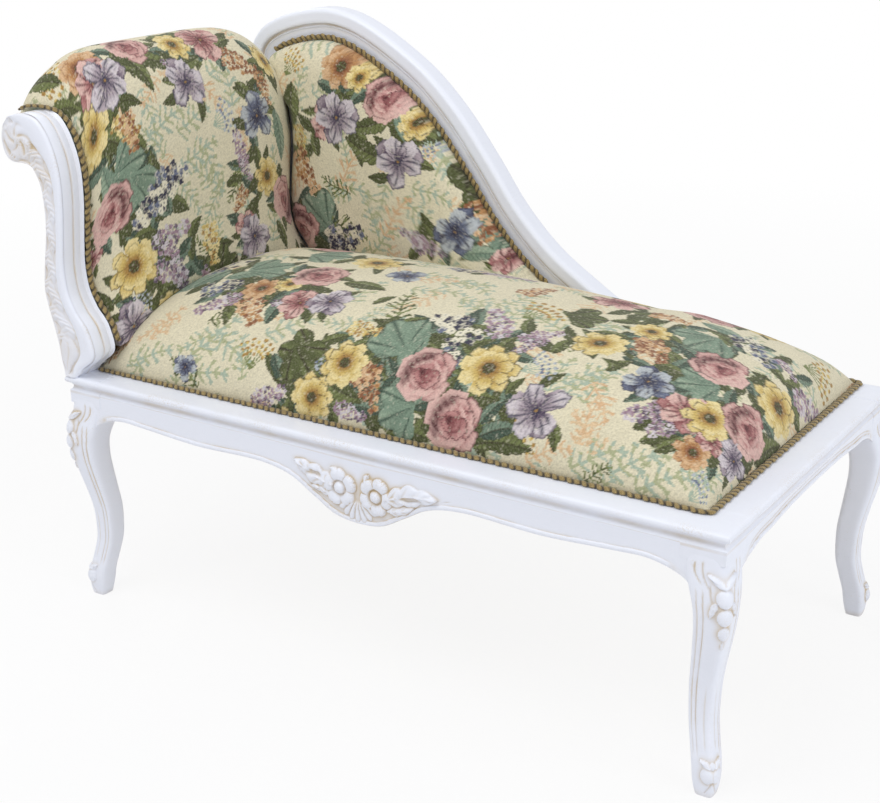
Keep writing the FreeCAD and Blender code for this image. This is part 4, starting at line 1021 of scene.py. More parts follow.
yarns = {name: np.array(tone(*rgb)[:3]) for name, rgb in {
    "roseLight": (218, 180, 171), "rosePink": (184, 130, 127), "roseDeep": (134, 76, 78),
    "burgundy": (82, 36, 42), "sage": (124, 146, 126), "teal": (66, 88, 74), "sageLight": (158, 176, 152),
    "olive": (82, 90, 50), "oliveDark": (48, 42, 26), "moss": (116, 126, 74), "yellow": (208, 182, 106),
    "yellowPale": (228, 210, 152), "ochre": (160, 122, 62), "brown": (74, 60, 34),
    "lavender": (174, 160, 168), "violet": (92, 76, 96), "lilac": (152, 124, 140),
    "lilacPale": (206, 197, 202), "navy": (48, 48, 70), "blue": (104, 112, 136),
    "bluePale": (182, 188, 192), "peach": (212, 176, 136),
    "orange": (182, 134, 84), "rust": (134, 84, 54), "fern": (172, 176, 138), "fernBlue": (166, 181, 162),
    "peachPale": (216, 188, 150), "cream": (226, 220, 198)}.items()}


def over(colour, *steps):
    # steps are (weight, yarn name): each covers what is under it by its weight
    for weight, name in steps:
        colour = colour + (yarns[name] - colour) * np.clip(1.0 * weight, 0, 1)[:, None]
    return colour


def layPetals(x, y, rings, turn, names, uneven):
    # ovals laid one over another from the outside in: each dark at its root, pale towards its ragged
    # rim, veined along its length and edged in the darkest yarn
    colour, mask = np.zeros(x.shape + (3,)), np.zeros(x.shape, bool)
    base, pale, deep, rim = names
    for count, distance, length, width, shift, depth in rings:
        for k in range(count):
            odd = np.sin(5.3 * k + 9 * turn + 2 * count)
            angle = turn + shift + 2 * np.pi * (k + 0.16 * odd) / count
            a = (x * np.cos(angle) + y * np.sin(angle) - distance) / (length * (1 + 0.10 * odd))
            b = (y * np.cos(angle) - x * np.sin(angle)) / (width * (1 + 0.22 * a))
            around = np.arctan2(b, a)
            ragged = 1 + 0.05 * np.sin(6 * around + 3 * k) + 0.04 * np.sin(11 * around + turn)
            r = np.hypot(a, b) * ragged
            inside = r < 1
            a, b, r = a[inside], b[inside], r[inside]
            lit = smoothStep(a, -0.75, 0.85) - depth - uneven * 0.35 * (0.5 + 0.5 * odd)
            vein = bump(np.sin(7 * b + k), 0.40) * (1 - smoothStep(r, 0.70, 0.95))
            vein = vein * (1 - smoothStep(a, 0.1, 0.8))
            edged = smoothStep(r, 0.84, 0.95) * smoothStep(0.6 + odd, 0, 1)
            colour[inside] = over(yarns[deep], (smoothStep(lit, -0.25, 0.40), base),
                                  (smoothStep(lit, 0.35, 0.90), pale), (0.55 * vein, deep),
                                  (0.80 * edged, rim))
            mask |= inside
    return colour, mask


# every motif takes its own coordinates, from -1 to 1, and a turn that makes each one differ

def rose(x, y, turn, names=("rosePink", "roseLight", "roseDeep", "burgundy")):
    # cupped petals closing on a heart that lies off the middle, in shade on its upper left
    rings = ((5, 0.56, 0.44, 0.46, 0.0, 0.0), (5, 0.40, 0.38, 0.42, 0.7, 0.05),
             (4, 0.22, 0.32, 0.36, 0.2, 0.15), (3, 0.11, 0.22, 0.26, 0.9, 0.35))
    colour, mask = layPetals(x, y, rings, turn, names, 0.8)
    way = 2.0 + 0.9 * np.sin(7 * turn)
    along, beside = x * np.cos(way) + y * np.sin(way), y * np.cos(way) - x * np.sin(way)
    cup = bump(np.hypot(along - 0.06, 0.85 * beside) - 0.52, 0.17) * smoothStep(along, 0.12, 0.34)
    cup = cup * (0.84 + 0.16 * np.sin(26 * beside + 9 * along))
    under = bump(np.hypot(along - 0.05, beside) - 0.34, 0.05) * smoothStep(-along, 0.0, 0.2)
    heart = 1 - smoothStep(np.hypot(along - 0.10, beside), 0.05, 0.15)
    return over(colour, (cup, names[3]), (0.8 * under, names[2]), (0.85 * heart, names[3])), mask


def fanLeaf(x, y, turn, names=("sage", "sageLight", "teal")):
    # a broad leaf opening from its stalk at the left: deep lobes round its edge, one vein to each
    x = x + 0.75
    r, angle = np.hypot(x, y) / 1.6, np.arctan2(y, x)
    lobe = np.abs(np.cos(4.2 * angle))
    reach = (1.02 - 0.18 * (angle / 1.1)**2) * (0.78 + 0.22 * lobe)
    shade = smoothStep(np.sin(5 * angle + 3 * turn), 0.3, 0.9) * (1 - r)
    vein = bump((4.2 * angle / np.pi + 0.5) % 1.0 - 0.5, 0.075) * smoothStep(r, 0.05, 0.2)
    small = bump((r * 6 + 2.6 * lobe) % 1.0 - 0.5, 0.12) * (np.sin(11 * angle + 5 * turn) > -0.2)
    rim = smoothStep(r / np.maximum(reach, 0.01), 0.93, 1.0)
    colour = over(yarns[names[0]], (0.7 * smoothStep(lobe * r, 0.35, 0.85), names[1]),
                  (0.5 * shade, names[2]), (vein, names[2]), (0.45 * small, names[2]), (0.7 * rim, names[2]))
    return colour, (r < reach) & (np.abs(angle) < 1.15)


def longLeaf(x, y, turn, names=("olive", "moss", "oliveDark")):
    # pointed leaf along x with toothed edge, one half in shade, with side veins
    s = (x + 1) / 2
    half = 0.42 * np.sin(np.pi * np.clip(s, 0, 1)**0.8)**0.85 * (0.88 + 0.12 * np.abs(np.sin(16 * s)))
    bow = y - 0.12 * np.sin(np.pi * s)
    side = bump((s * 9 - np.abs(bow) * 3.2) % 1.0 - 0.5, 0.18)
    rim = smoothStep(np.abs(bow) / np.maximum(half, 0.01), 0.82, 1.0)
    colour = over(yarns[names[0]], (0.8 * (bow > 0), names[1]), (0.55 * side, names[2]),
                  (0.8 * bump(bow, 0.035), names[2]), (0.6 * rim, names[2]))
    return colour, (np.abs(bow) < half) & (s > 0) & (s < 1)


def yellowFlower(x, y, turn, names=("yellow", "yellowPale", "ochre", "brown")):
    # two rings of ragged petals about a dark seeded heart
    rings = ((8, 0.62, 0.38, 0.27, 0.0, 0.05), (7, 0.44, 0.34, 0.25, 0.4, 0.0))
    colour, mask = layPetals(x, y, rings, turn, names, 0.7)
    r, angle = np.hypot(x, y), np.arctan2(y, x)
    halo = 1 - smoothStep(r, 0.25, 0.36 + 0.05 * np.sin(9 * angle))
    heart = 1 - smoothStep(r, 0.19, 0.25 + 0.03 * np.sin(7 * angle))
    seeds = (np.sin(34 * x) * np.sin(34 * y) > 0.2) & (r < 0.20)
    colour = over(colour, (0.9 * halo, names[2]), (heart, "brown"), (0.9 * seeds, "olive"))
    return colour, mask | (r < 0.3)


def pansy(x, y, turn, names=("lavender", "lilacPale", "violet", "navy")):
    # five broad streaked petals of uneven depth, dark at their roots
    rings = ((3, 0.52, 0.46, 0.36, 0.5, 0.45), (5, 0.50, 0.44, 0.31, 0.0, -0.30),
             (2, 0.30, 0.30, 0.22, 1.2, 0.10))
    colour, mask = layPetals(x, y, rings, turn, names, 1.0)
    r, angle = np.hypot(x, y), np.arctan2(y, x) + turn
    sweep = 0.25 * np.sin(4 * angle + 2.2 * r + 3 * turn)
    streak = bump(np.cos(7.5 * angle + 2.5 * r), 0.50) * smoothStep(r, 0.05, 0.12)
    streak = streak * (1 - smoothStep(r, 0.55 + sweep, 0.75 + sweep))
    heart, eye = 1 - smoothStep(r, 0.07, 0.20), 1 - smoothStep(r, 0.03, 0.07)
    colour = over(colour, (0.9 * streak, names[3]), (0.85 * heart, names[3]), (0.9 * eye, "ochre"))
    return colour, mask | (r < 0.2)


def florets(x, y, turn, names=("navy", "blue", "cream"), size=0.30, slim=0.52):
    # a spike of small four petalled flowers along x, set in staggered rows that taper
    row = np.floor(x / size)
    shift = (row % 2) * 0.5
    cell = np.floor(y / size + shift)
    jitter = (np.sin(row * 12.9 + cell * 78.2 + 5 * turn) * 43758.5) % 1.0
    cx = (row + 0.5) * size + (jitter - 0.5) * 0.3 * size
    cy = (cell + 0.5 - shift) * size + (((jitter * 7.3) % 1.0) - 0.5) * 0.3 * size
    r, angle = np.hypot(x - cx, y - cy) / size, np.arctan2(y - cy, x - cx) + 6.28 * jitter
    inside = (np.abs(cx) < 0.95) & (np.abs(cy) < slim * (1.05 - 0.5 * np.abs(cx + 0.3)))
    tipped = bump(r - 0.38, 0.09) * (np.sin(angle) > 0)
    colour = over(yarns[names[0]], (jitter > 0.66, names[1]), ((jitter * 5.3) % 1.0 > 0.74, names[2]),
                  (0.8 * tipped, names[2]), (0.9 * (1 - smoothStep(r, 0.06, 0.14)), names[0]))
    return colour, inside & (r < 0.40 + 0.20 * np.abs(np.cos(2 * angle)))


def twig(x, y, turn, names=("fern", "fernBlue"), pitch=0.36, thick=0.085):
    # a stem along x with slanting side twigs that fork once and carry buds
    bow = np.abs(y - 0.10 * np.sin(2.5 * x + turn))
    slant = x + 0.06 * np.sin(5 * y) - 0.8 * bow
    limit = 0.60 * (1.02 - 0.55 * np.abs(x + 0.2)) * (0.75 + 0.25 * np.sin(9 * x + turn * 3))
    branch = (slant % pitch < thick * 1.3) & (bow < limit)
    fork = ((slant + 0.5 * np.abs(bow - 0.22)) % pitch < thick) & (bow < limit) & (bow > 0.12)
    buds = (np.hypot(slant % pitch - 0.03, bow % 0.19 - 0.10) < 0.055) & (bow < limit * 1.1)
    mask = ((bow < thick * 0.55) | branch | fork | buds) & (np.abs(x) < 1)
    return over(yarns[names[0]], (np.sin(9 * x + 7 * y) > 0.2, names[1])), mask


def sprayOfBuds(x, y, turn, names):
    # thin stalks fanning from the left, each with three buds
    x = x + 1.0
    r, angle = np.hypot(x, y) / 1.9, np.arctan2(y, x)
    k = angle * 4.5
    lane = np.floor(k + 0.5)
    off = (k - lane) * r * 1.9 / 4.5
    jitter = (np.sin(lane * 45.3 + turn * 9) * 43758.5) % 1.0
    stalk = (np.abs(off) < 0.028) & (r < 0.62 + 0.3 * jitter)
    bud = np.zeros(x.shape, bool)
    for place in (0.45, 0.62, 0.80):
        bud |= np.hypot(off, (r - place - 0.13 * jitter) * 1.9) < 0.105
    colour = over(yarns[names[2]], (bud, names[0]), (0.9 * bud * (np.sin(30 * r) > 0), names[1]))
    return colour, (stalk | bud) & (np.abs(lane) < 3.5)


# each kind of motif: its function, then the yarns and measures that differ from the usual ones
kinds = {
    "rose": (rose,), "yellow": (yellowFlower,), "pansy": (pansy,), "hyacinth": (florets,),
    "fern": (twig,), "leaf": (longLeaf,), "fanLeaf": (fanLeaf,),
    "darkFan": (fanLeaf, ("olive", "moss", "oliveDark")),
    "darkLeaf": (longLeaf, ("olive", "olive", "oliveDark")),
    "sageLeaf": (longLeaf, ("sage", "sageLight", "teal")),
    "tealLeaf": (longLeaf, ("teal", "sage", "oliveDark")),
    "bluePansy": (pansy, ("blue", "bluePale", "navy", "navy")),
    "pinkFlower": (pansy, ("rosePink", "roseLight", "roseDeep", "burgundy")),
    "rustFlower": (yellowFlower, ("orange", "peach", "rust", "rust")),
    "lilac": (florets, ("lilac", "violet", "lilacPale"), 0.20, 0.44),
    "yellowBuds": (florets, ("ochre", "yellow", "yellowPale"), 0.22, 0.5),
    "orangeBuds": (florets, ("rust", "orange", "peach"), 0.22, 0.48),
    "blueFern": (twig, ("fernBlue", "fern")), "peachFern": (twig, ("peachPale", "peachPale")),
    "peachTwig": (twig, ("peachPale", "peach")), "darkTwig": (twig, ("olive", "moss"), 0.30, 0.075),
    "blueSpray": (sprayOfBuds, ("blue", "bluePale", "fernBlue")),
    "yellowSpray": (sprayOfBuds, ("yellow", "ochre", "moss"))}


def paintCloth(cloth, motifs, hand=1):
    # ground first, then each motif over what lies under it: kind, place, size and turn
    u, v = cloth[..., 0].ravel(), cloth[..., 1].ravel()
    colour = groundTone * (0.97 + 0.06 * softNoise(u, v, 0.05, 3))[:, None]
    warp = 0.0012 * (softNoise(u, v, 0.006, 7) - 0.5)
    weft = 0.0012 * (softNoise(u, v, 0.006, 11) - 0.5)
    for kind, mu, mv, size, turn in motifs:
        near = np.nonzero((np.abs(u - mu) < 1.75 * size) & (np.abs(v - mv) < 1.75 * size))[0]
        if not len(near):
            continue
        du, dv = (u[near] + warp[near] - mu) / size, (v[near] + weft[near] - mv) / size
        angle = np.radians(turn)
        x, y = du * np.cos(angle) + dv * np.sin(angle), hand * (dv * np.cos(angle) - du * np.sin(angle))
        draw, *options = kinds[kind]
        drawn, mask = draw(x, y, 1.3 * mu + 2.1 * mv, *options)
        colour[near[mask]] = drawn[mask]
    # each yarn crossing a little lighter or darker, and some flecked with cream
    colour *= (0.90 + 0.20 * yarnNoise(u, v, 0.0016, 5))[:, None]
    fleck = (yarnNoise(u + 0.0005, v, 0.0024, 9) > 0.93)[:, None]
    colour = np.where(fleck, 0.72 * colour + 0.28 * yarns["cream"], colour)
    return np.concatenate([np.clip(colour, 0, 1), np.ones((len(u), 1))], 1).reshape(cloth.shape[:-1] + (4,))


# where each motif lies on the cloth: run, width and half size in millimetres, then its turn
seatMotifs = {
    "fern": [(284, -233, 63, 48), (287, -292, 45, -4), (175, -277, 44, 7), (566, -37, 50, 6),
        (651, -45, 40, 2), (877, -188, 38, 48), (711, -49, 54, 79), (584, 19, 43, 19), (897, -178, 39, 78),
        (942, -283, 44, 28), (1042, -278, 52, 28), (1035, 90, 48, 44), (757, -318, 48, 8)],
    "blueFern": [(324, -249, 56, -39), (409, -191, 54, 28), (522, -130, 29, 58), (840, -168, 36, 84),
        (840, -17, 36, 18), (1000, -268, 72, 32), (1088, -247, 33, 7)],
    "peachTwig": [(182, -221, 35, 62), (526, 11, 40, 14), (822, -185, 25, 20), (911, -239, 37, 84),
        (873, -294, 34, 12), (913, -207, 39, -56)],
    "darkTwig": [(282, -197, 29, 25), (247, -297, 34, 142), (526, -294, 33, -15), (546, -104, 61, 101),
        (831, -109, 22, 12), (946, -303, 25, 36)],
    "yellowSpray": [(367, -248, 29, 91), (826, -276, 28, 32), (740, -28, 42, 67), (1104, 159, 41, 46)],
    "blueSpray": [(478, -244, 25, 50), (809, -165, 28, 39), (1097, -260, 27, 63)],
    "leaf": [(466, -267, 30, 5), (489, -204, 26, 33), (531, -274, 35, 166), (546, -246, 24, 61),
        (353, -99, 53, 6), (451, -66, 39, 0), (509, -97, 21, 59), (584, -140, 24, 42), (660, -315, 33, -2),
        (633, -313, 29, 176), (706, -155, 26, 45), (744, -141, 25, 79), (706, -168, 27, 162),
        (784, -286, 37, -145), (811, -294, 37, 5), (793, -209, 18, 65), (771, -10, 18, 157),
        (853, -46, 24, 3), (902, -126, 24, 66), (889, -123, 16, 173), (964, -90, 28, -3),
        (1095, -148, 27, -12), (1006, -231, 21, 36), (1148, -76, 61, 86), (1062, 49, 25, -21),
        (1097, 60, 25, 43)],
    "tealLeaf": [(606, -254, 27, -113), (602, -274, 26, 146), (777, -254, 24, 58), (795, -278, 31, 24),
        (971, -32, 40, -29)],
    "sageLeaf": [(244, -86, 39, 32), (957, 101, 40, -8)],
    "fanLeaf": [(255, -49, 47, 44), (298, 51, 56, 7), (602, -181, 47, -140), (584, -173, 45, 136),
        (633, -290, 39, -147), (957, 31, 80, -106), (1008, -94, 40, -140)],
    "darkFan": [(438, -235, 38, -179), (451, -243, 37, -39), (795, -9, 38, 17), (849, 44, 21, -2)],
    "yellowBuds": [(524, -174, 30, 1)],
    "orangeBuds": [(575, -264, 43, -49), (558, -245, 36, 11), (315, -174, 50, -47), (682, 53, 38, 74),
        (884, 76, 34, 4), (920, -54, 66, -43), (902, -48, 35, -89)],
    "lilac": [(409, -307, 34, 28), (555, -304, 28, -7), (249, -174, 40, -138), (367, -138, 34, -136),
        (700, -93, 63, 126), (773, -129, 29, -119), (775, -100, 34, 43), (598, 114, 61, 4),
        (986, -188, 48, -143), (1013, -204, 31, 45), (1133, 81, 46, 51), (1068, 83, 24, -21)],
    "hyacinth": [(227, -133, 39, 37), (638, -117, 36, -176), (664, -133, 48, -27), (673, -181, 33, 115),
        (1020, 76, 46, -31), (988, 103, 26, -143)],
    "rustFlower": [(298, -123, 32, 23), (1060, -222, 29, -11)],
    "pinkFlower": [(387, -145, 38, -144), (795, 100, 45, 27), (1022, -161, 43, -42), (1073, -186, 25, -12)],
    "bluePansy": [(247, -290, 23, 8), (478, 7, 34, 13), (951, -137, 39, 12)],
    "yellow": [(486, -295, 37, 10), (524, -236, 39, 11), (335, -100, 25, 24), (395, 47, 42, 8),
        (742, -193, 46, 17), (853, -81, 38, -11), (889, -1, 30, 4), (1051, -151, 41, -39),
        (1104, -9, 46, 17)],
    "pansy": [(431, -128, 38, 18), (837, -237, 46, 1), (1117, -174, 36, 38)],
    "rose": [(358, -55, 60, 14), (655, -226, 59, 14), (720, -282, 52, 13), (1011, -29, 51, -8),
        (1100, -109, 52, 29)]}

headMotifs = {
    "fern": [(289, -143, 37, -30), (213, -11, 75, 164), (155, -28, 36, -131), (371, -191, 34, -140),
        (186, -73, 38, 149)],
    "blueFern": [(310, -107, 57, 78), (251, -42, 55, 80), (383, 62, 52, 74)],
    "peachTwig": [(340, 3, 42, 147), (359, -121, 33, -116), (57, -224, 24, 132)],
    "darkTwig": [(188, 39, 37, -140), (101, -52, 27, -41)],
    "yellowSpray": [(496, -248, 36, 163)],
    "blueSpray": [(51, -202, 24, 63), (295, 28, 31, 74)],
    "leaf": [(457, -285, 36, 150), (382, -249, 47, 143), (317, -221, 43, 138), (250, -143, 26, -15),
        (149, -178, 25, 88), (122, -152, 26, 84), (77, -232, 19, 83), (95, -270, 35, -33),
        (431, -112, 48, 85), (400, -128, 51, 160), (416, -147, 25, -56), (404, -85, 43, 115),
        (449, -14, 40, 96), (325, 92, 28, 137), (78, 150, 29, 159), (514, -245, 41, 5)],
    "tealLeaf": [(323, -275, 41, -67)],
    "sageLeaf": [(269, -235, 55, -23), (256, 168, 53, 174)],
    "fanLeaf": [(271, -197, 41, 87), (225, -180, 39, 149)],
    "darkFan": [(66, -14, 36, 16)],
    "yellowBuds": [(101, -33, 40, 178), (323, -191, 35, -48)],
    "orangeBuds": [(313, -183, 35, 178), (376, 102, 44, 117), (156, 47, 27, -138), (335, 144, 34, 175)],
    "lilac": [(134, -123, 49, 76), (84, -119, 40, -17), (83, -141, 54, 114), (389, -52, 23, -42),
        (242, 57, 33, -18), (206, 67, 26, 148)],
    "hyacinth": [(210, -130, 59, 56), (185, -164, 40, -117), (225, -109, 42, 84)],
    "rustFlower": [(451, -213, 42, -48)],
    "pinkFlower": [(171, -279, 22, -125), (416, -213, 54, -50), (430, 49, 47, 116), (111, 55, 28, -22)],
    "bluePansy": [(287, 109, 44, 171)],
    "yellow": [(367, -258, 61, -48), (110, -204, 50, 115), (431, -17, 33, 110), (392, 177, 31, -170),
        (185, 123, 35, 176)],
    "pansy": [(18, -221, 52, 124), (403, -193, 56, 132), (362, -39, 44, 174), (90, 73, 40, 158)],
    "rose": [(219, -239, 66, 130), (446, -109, 40, 127), (141, 180, 52, -166)]}

backMotifs = {
    "fern": [(-430, 748, 39, 73), (-165, 594, 38, -20), (-257, 508, 42, 38), (-265, 567, 38, -116),
        (-185, 543, 36, 51)],
    "blueFern": [(-163, 649, 50, -52), (-327, 585, 46, -6)],
    "peachTwig": [(-233, 552, 45, 50), (-326, 623, 42, 52), (-181, 663, 21, 118)],
    "darkTwig": [(-356, 589, 32, 155), (-339, 514, 47, -14)],
    "yellowSpray": [(-451, 788, 26, 64)],
    "blueSpray": [(-174, 673, 22, -49)],
    "leaf": [(-455, 711, 48, -99), (-428, 642, 25, -48), (-325, 717, 36, 118), (-312, 669, 44, -75),
        (-282, 704, 40, -161), (-292, 660, 47, 160), (-192, 684, 16, -26), (-112, 580, 12, 35),
        (-133, 620, 27, -53), (-107, 584, 22, -55), (-92, 508, 24, -142)],
    "tealLeaf": [(-376, 491, 28, -32)],
    "sageLeaf": [(-230, 698, 24, -64), (-68, 533, 32, -50), (-76, 504, 32, 4)],
    "fanLeaf": [(-399, 535, 56, 139)],
    "yellowBuds": [(-433, 659, 31, -75)],
    "orangeBuds": [(-422, 606, 47, -54), (-87, 555, 42, -55)],
    "lilac": [(-198, 519, 30, 160), (-167, 506, 36, -8)],
    "hyacinth": [(-342, 502, 50, 20), (-357, 494, 32, 135)],
    "rustFlower": [(-350, 788, 39, 11)],
    "pinkFlower": [(-310, 785, 16, -32), (-372, 697, 35, 136), (-36, 499, 23, -41)],
    "bluePansy": [(-121, 538, 40, -29)],
    "yellow": [(-207, 706, 29, -46), (-314, 772, 24, -21)],
    "pansy": [(-352, 705, 53, -85), (-230, 643, 53, -80)],
    "rose": [(-440, 502, 44, -14), (-261, 741, 40, -10)]}


# the cloth's own repeat: motifs over one step of it, in metres and degrees, the first ones lowest
repeatStep = (0.36, 0.34)
cluster = [("fern", 0.02, 0.15, 0.05, 20), ("fern", 0.24, 0.02, 0.05, 140),
           ("blueFern", 0.12, -0.13, 0.05, 70), ("fern", -0.10, 0.12, 0.05, 100),
           ("peachTwig", 0.16, 0.12, 0.035, 10), ("leaf", 0.055, 0.055, 0.045, 60),
           ("leaf", -0.06, -0.05, 0.045, 200), ("leaf", 0.09, -0.04, 0.045, -30),
           ("fanLeaf", -0.04, 0.06, 0.055, 110), ("rose", 0.0, 0.0, 0.047, 0),
           ("rose", 0.07, -0.045, 0.040, 40), ("yellow", 0.075, 0.03, 0.036, 20),
           ("pansy", 0.14, 0.0, 0.038, 0), ("hyacinth", -0.02, 0.12, 0.045, 60),
           ("lilac", 0.09, 0.10, 0.045, 30), ("yellow", -0.11, -0.01, 0.032, 50),
           ("leaf", -0.16, 0.02, 0.038, 150), ("orangeBuds", -0.10, -0.08, 0.032, 10),
           ("pansy", -0.04, -0.14, 0.033, 30)]
smallKinds = ("fern", "blueFern", "peachTwig")
openKinds = smallKinds + ("blueSpray", "yellowSpray", "darkTwig", "leaf", "sageLeaf")
sprig = {"stepU": 0.094, "stepV": 0.088, "sway": 0.016, "size": 0.040}
tuckedLeaf = {"apart": 0.018, "size": 0.026, "round": {"rose": 5, "yellow": 4, "pansy": 3, "pinkFlower": 3,
                                                        "fanLeaf": 1}}


def repeated(shiftU, shiftV, turned=0):
    # the cluster over and over, every other column half a step on
    stepU, stepV = repeatStep
    return [(kind, u + i * stepU + shiftU, v + (j + 0.5 * (i % 2)) * stepV + shiftV, size, turn + turned)
            for i in range(-4, 5) for j in range(-3, 4) for kind, u, v, size, turn in cluster]


def besideFlowers(placed):
    # leaves tucked round each flower
    for kind, u, v, size, _ in placed:
        for k in range(tuckedLeaf["round"].get(kind, 0)):
            way = 2.4 * k + 31 * u + 17 * v
            reach = size * (0.98 + 0.14 * np.sin(5 * way))
            yield (("darkLeaf", "leaf", "darkLeaf")[k % 3], u + reach * np.cos(way),
                   v + reach * np.sin(way), 0.42 * size + 0.004, np.degrees(way) + 35 * np.sin(3 * way))


def betweenFlowers(large):
    # a leaf to each side of the gap between two neighbours
    apart = tuckedLeaf["apart"]
    for i, (_, u, v, size, _) in enumerate(large):
        for _, u2, v2, size2, _ in large[i + 1:]:
            gap, both = np.hypot(u2 - u, v2 - v), size + size2
            if 0.4 * both < gap < 0.95 * both + 0.016:
                way, share = np.arctan2(v2 - v, u2 - u) + np.pi / 2, size / both
                for sign in (-1, 1):
                    yield (("darkLeaf", "leaf", "tealLeaf")[(i + sign) % 3],
                           u + share * (u2 - u) + apart * sign * np.cos(way),
                           v + share * (v2 - v) + apart * sign * np.sin(way), tuckedLeaf["size"],
                           np.degrees(way) + 25 * sign)


def sprigs(low, high):
    # pale sprigs on a slanting grid that sways
    for i in range(int((high[0] - low[0]) / sprig["stepU"]) + 1):
        for j in range(int((high[1] - low[1]) / sprig["stepV"]) + 1):
            odd = np.sin(12.9 * i + 7.7 * j)
            yield (("fern", "peachFern", "blueFern", "fern")[(i + 2 * j) % 4],
                   low[0] + sprig["stepU"] * (i + 0.5 * (j % 2)) + sprig["sway"] * odd,
                   low[1] + sprig["stepV"] * j + sprig["sway"] * np.sin(5.1 * i + j),
                   sprig["size"] + 0.006 * odd, 360 * np.sin(3.3 * i + 5.9 * j))


def foliage(placed, low, high):
    # the placed motifs of the cloth from low to high, over sprigs, small ferns and tucked leaves
    placed = [m for m in placed if low[0] - 0.08 < m[1] < high[0] + 0.08
              and low[1] - 0.08 < m[2] < high[1] + 0.08]
    large = [m for m in placed if m[0] not in openKinds]
    return [*sprigs(low, high), *(m for m in placed if m[0] in smallKinds), *besideFlowers(placed),
            *betweenFlowers(large), *(m for m in placed if m[0] not in smallKinds)]


def layout(motifs, shiftU, shiftV):
    # the listed motifs, and the cloth's own repeat wherever none of them lies
    listed = [(kind, u / 1000, v / 1000, min(size / 1000, 0.046), turn) for kind, places in motifs.items()
              for u, v, size, turn in places]
    where = np.array([place[1:4] for place in listed])
    under = []
    for motif in repeated(shiftU, shiftV):
        gap = np.hypot(where[:, 0] - motif[1], where[:, 1] - motif[2]) - 0.75 * (where[:, 2] + motif[3])
        if gap.min() > 0:
            under.append(motif)
    return foliage(under + listed, where[:, :2].min(0) - 0.10, where[:, :2].max(0) + 0.10)


def behind(cloth, shiftU, shiftV, turned=0):
    # the repeat and its foliage over an outside cover
    flat = cloth[..., :2].reshape(-1, 2)
    return foliage(repeated(shiftU, shiftV, turned), flat.min(0), flat.max(0))


# Padded covers

def coverPiece(name, points, cloth, dye, nodes, closed=True):
    # the seat's cover is open below, the other two close round their foam
    part = surface(points, {"cloth": cloth, "dye": dye}, closed, not closed)
    piece = addPiece(name, [part], tapestry, nodes, 1.2)


def makeCovers():
    points, cloth = seatPart()
    dye = paintCloth(cloth, layout(seatMotifs, 0.55, 0.0))
    coverPiece("seatCover", points, cloth, dye, ["seat_cover", "seat_foam"], False)
    points, cloth = headPart()
    dye = paintCloth(cloth, layout(headMotifs, 0.3, 0.0), -1)
    coverPiece("headCover", points, cloth, dye, ["head_cover", "head_foam"])
    points, cloth = backPart()
    dye = paintCloth(cloth, layout(backMotifs, -0.2, 0.6))
    coverPiece("backCover", points, cloth, dye, ["back_cover", "back_foam"])


makeCovers()


# Twisted braid round the upholstery

braid = {"half": 0.0057, "tall": 0.0029, "pitch": 0.0108, "around": 12, "step": 0.0011, "gap": 0.0055,
         "seatEdge": 0.041, "seatTail": 0.266, "corner": 0.010, "headAt": -0.2515, "headSink": 0.0012,
         "railEdge": 0.053, "backAt": 0.2630, "backTail": 0.156}


def framed(path, up):
    # unit vectors across a path of points that has up as its upper side
    along = np.gradient(path, axis=0)
    along /= np.linalg.norm(along, axis=1)[:, None]
    side = np.cross(up, along)
    return side / np.linalg.norm(side, axis=1)[:, None]


def braidPart(path, up, lift=0.0):
    # a chain of knots: the reach follows the sine of the run, swaying from side to side
    path = np.asarray(path, float)
    up = np.broadcast_to(np.asarray(up, float), path.shape)
    run = runAlong(path)
    even = np.linspace(0, run[-1], int(run[-1] / braid["step"]))
    line, up = (np.stack([np.interp(even, run, v[:, i]) for i in range(3)], 1) for v in (path, up))
    side = framed(line, up)
    turn = np.linspace(0, 2 * np.pi, braid["around"], endpoint=False)
    beat = np.pi * np.arange(len(line))[:, None] * braid["step"] / braid["pitch"]
    knot = np.abs(np.sin(beat))**0.75
    slant = np.abs(np.sin(beat + 0.85 * np.cos(turn)[None, :]))**0.75
    a = 0.93 * braid["half"] * (0.62 + 0.38 * slant) * np.cos(turn) + 0.0009 * np.cos(beat)
    b = 0.98 * braid["tall"] * (1 + (0.60 + 0.40 * slant) * np.sin(turn)) + lift
    points = line[:, None] + side[:, None] * a[..., None] + up[:, None] * b[..., None]
    # painted shade: dark in the grooves of the twist, and darker down one side, most over the knots
    groove = 1 - smoothStep(slant, 0.35, 0.80)
    dark = 0.25 + 0.75 * smoothStep(np.cos(turn), -0.2, 0.8)[None, :] * (0.4 + 0.6 * knot)
    return surface(points, {"patina": groove, "edge": np.clip(dark, 0, 1)})


def roundedPath(points, radius, steps=8):
    # straight runs with a quarter turn at each inner corner
    path = [points[0]]
    for before, corner, after in zip(points, points[1:], points[2:]):
        a, c, b = (np.array(p, float) for p in (before, corner, after))
        start = c + (a - c) / np.linalg.norm(a - c) * radius
        end = c + (b - c) / np.linalg.norm(b - c) * radius
        t = np.linspace(0, 1, steps)[:, None]
        path += list((1 - t)**2 * start + 2 * t * (1 - t) * c + t**2 * end)
    return np.array(path + [points[-1]])


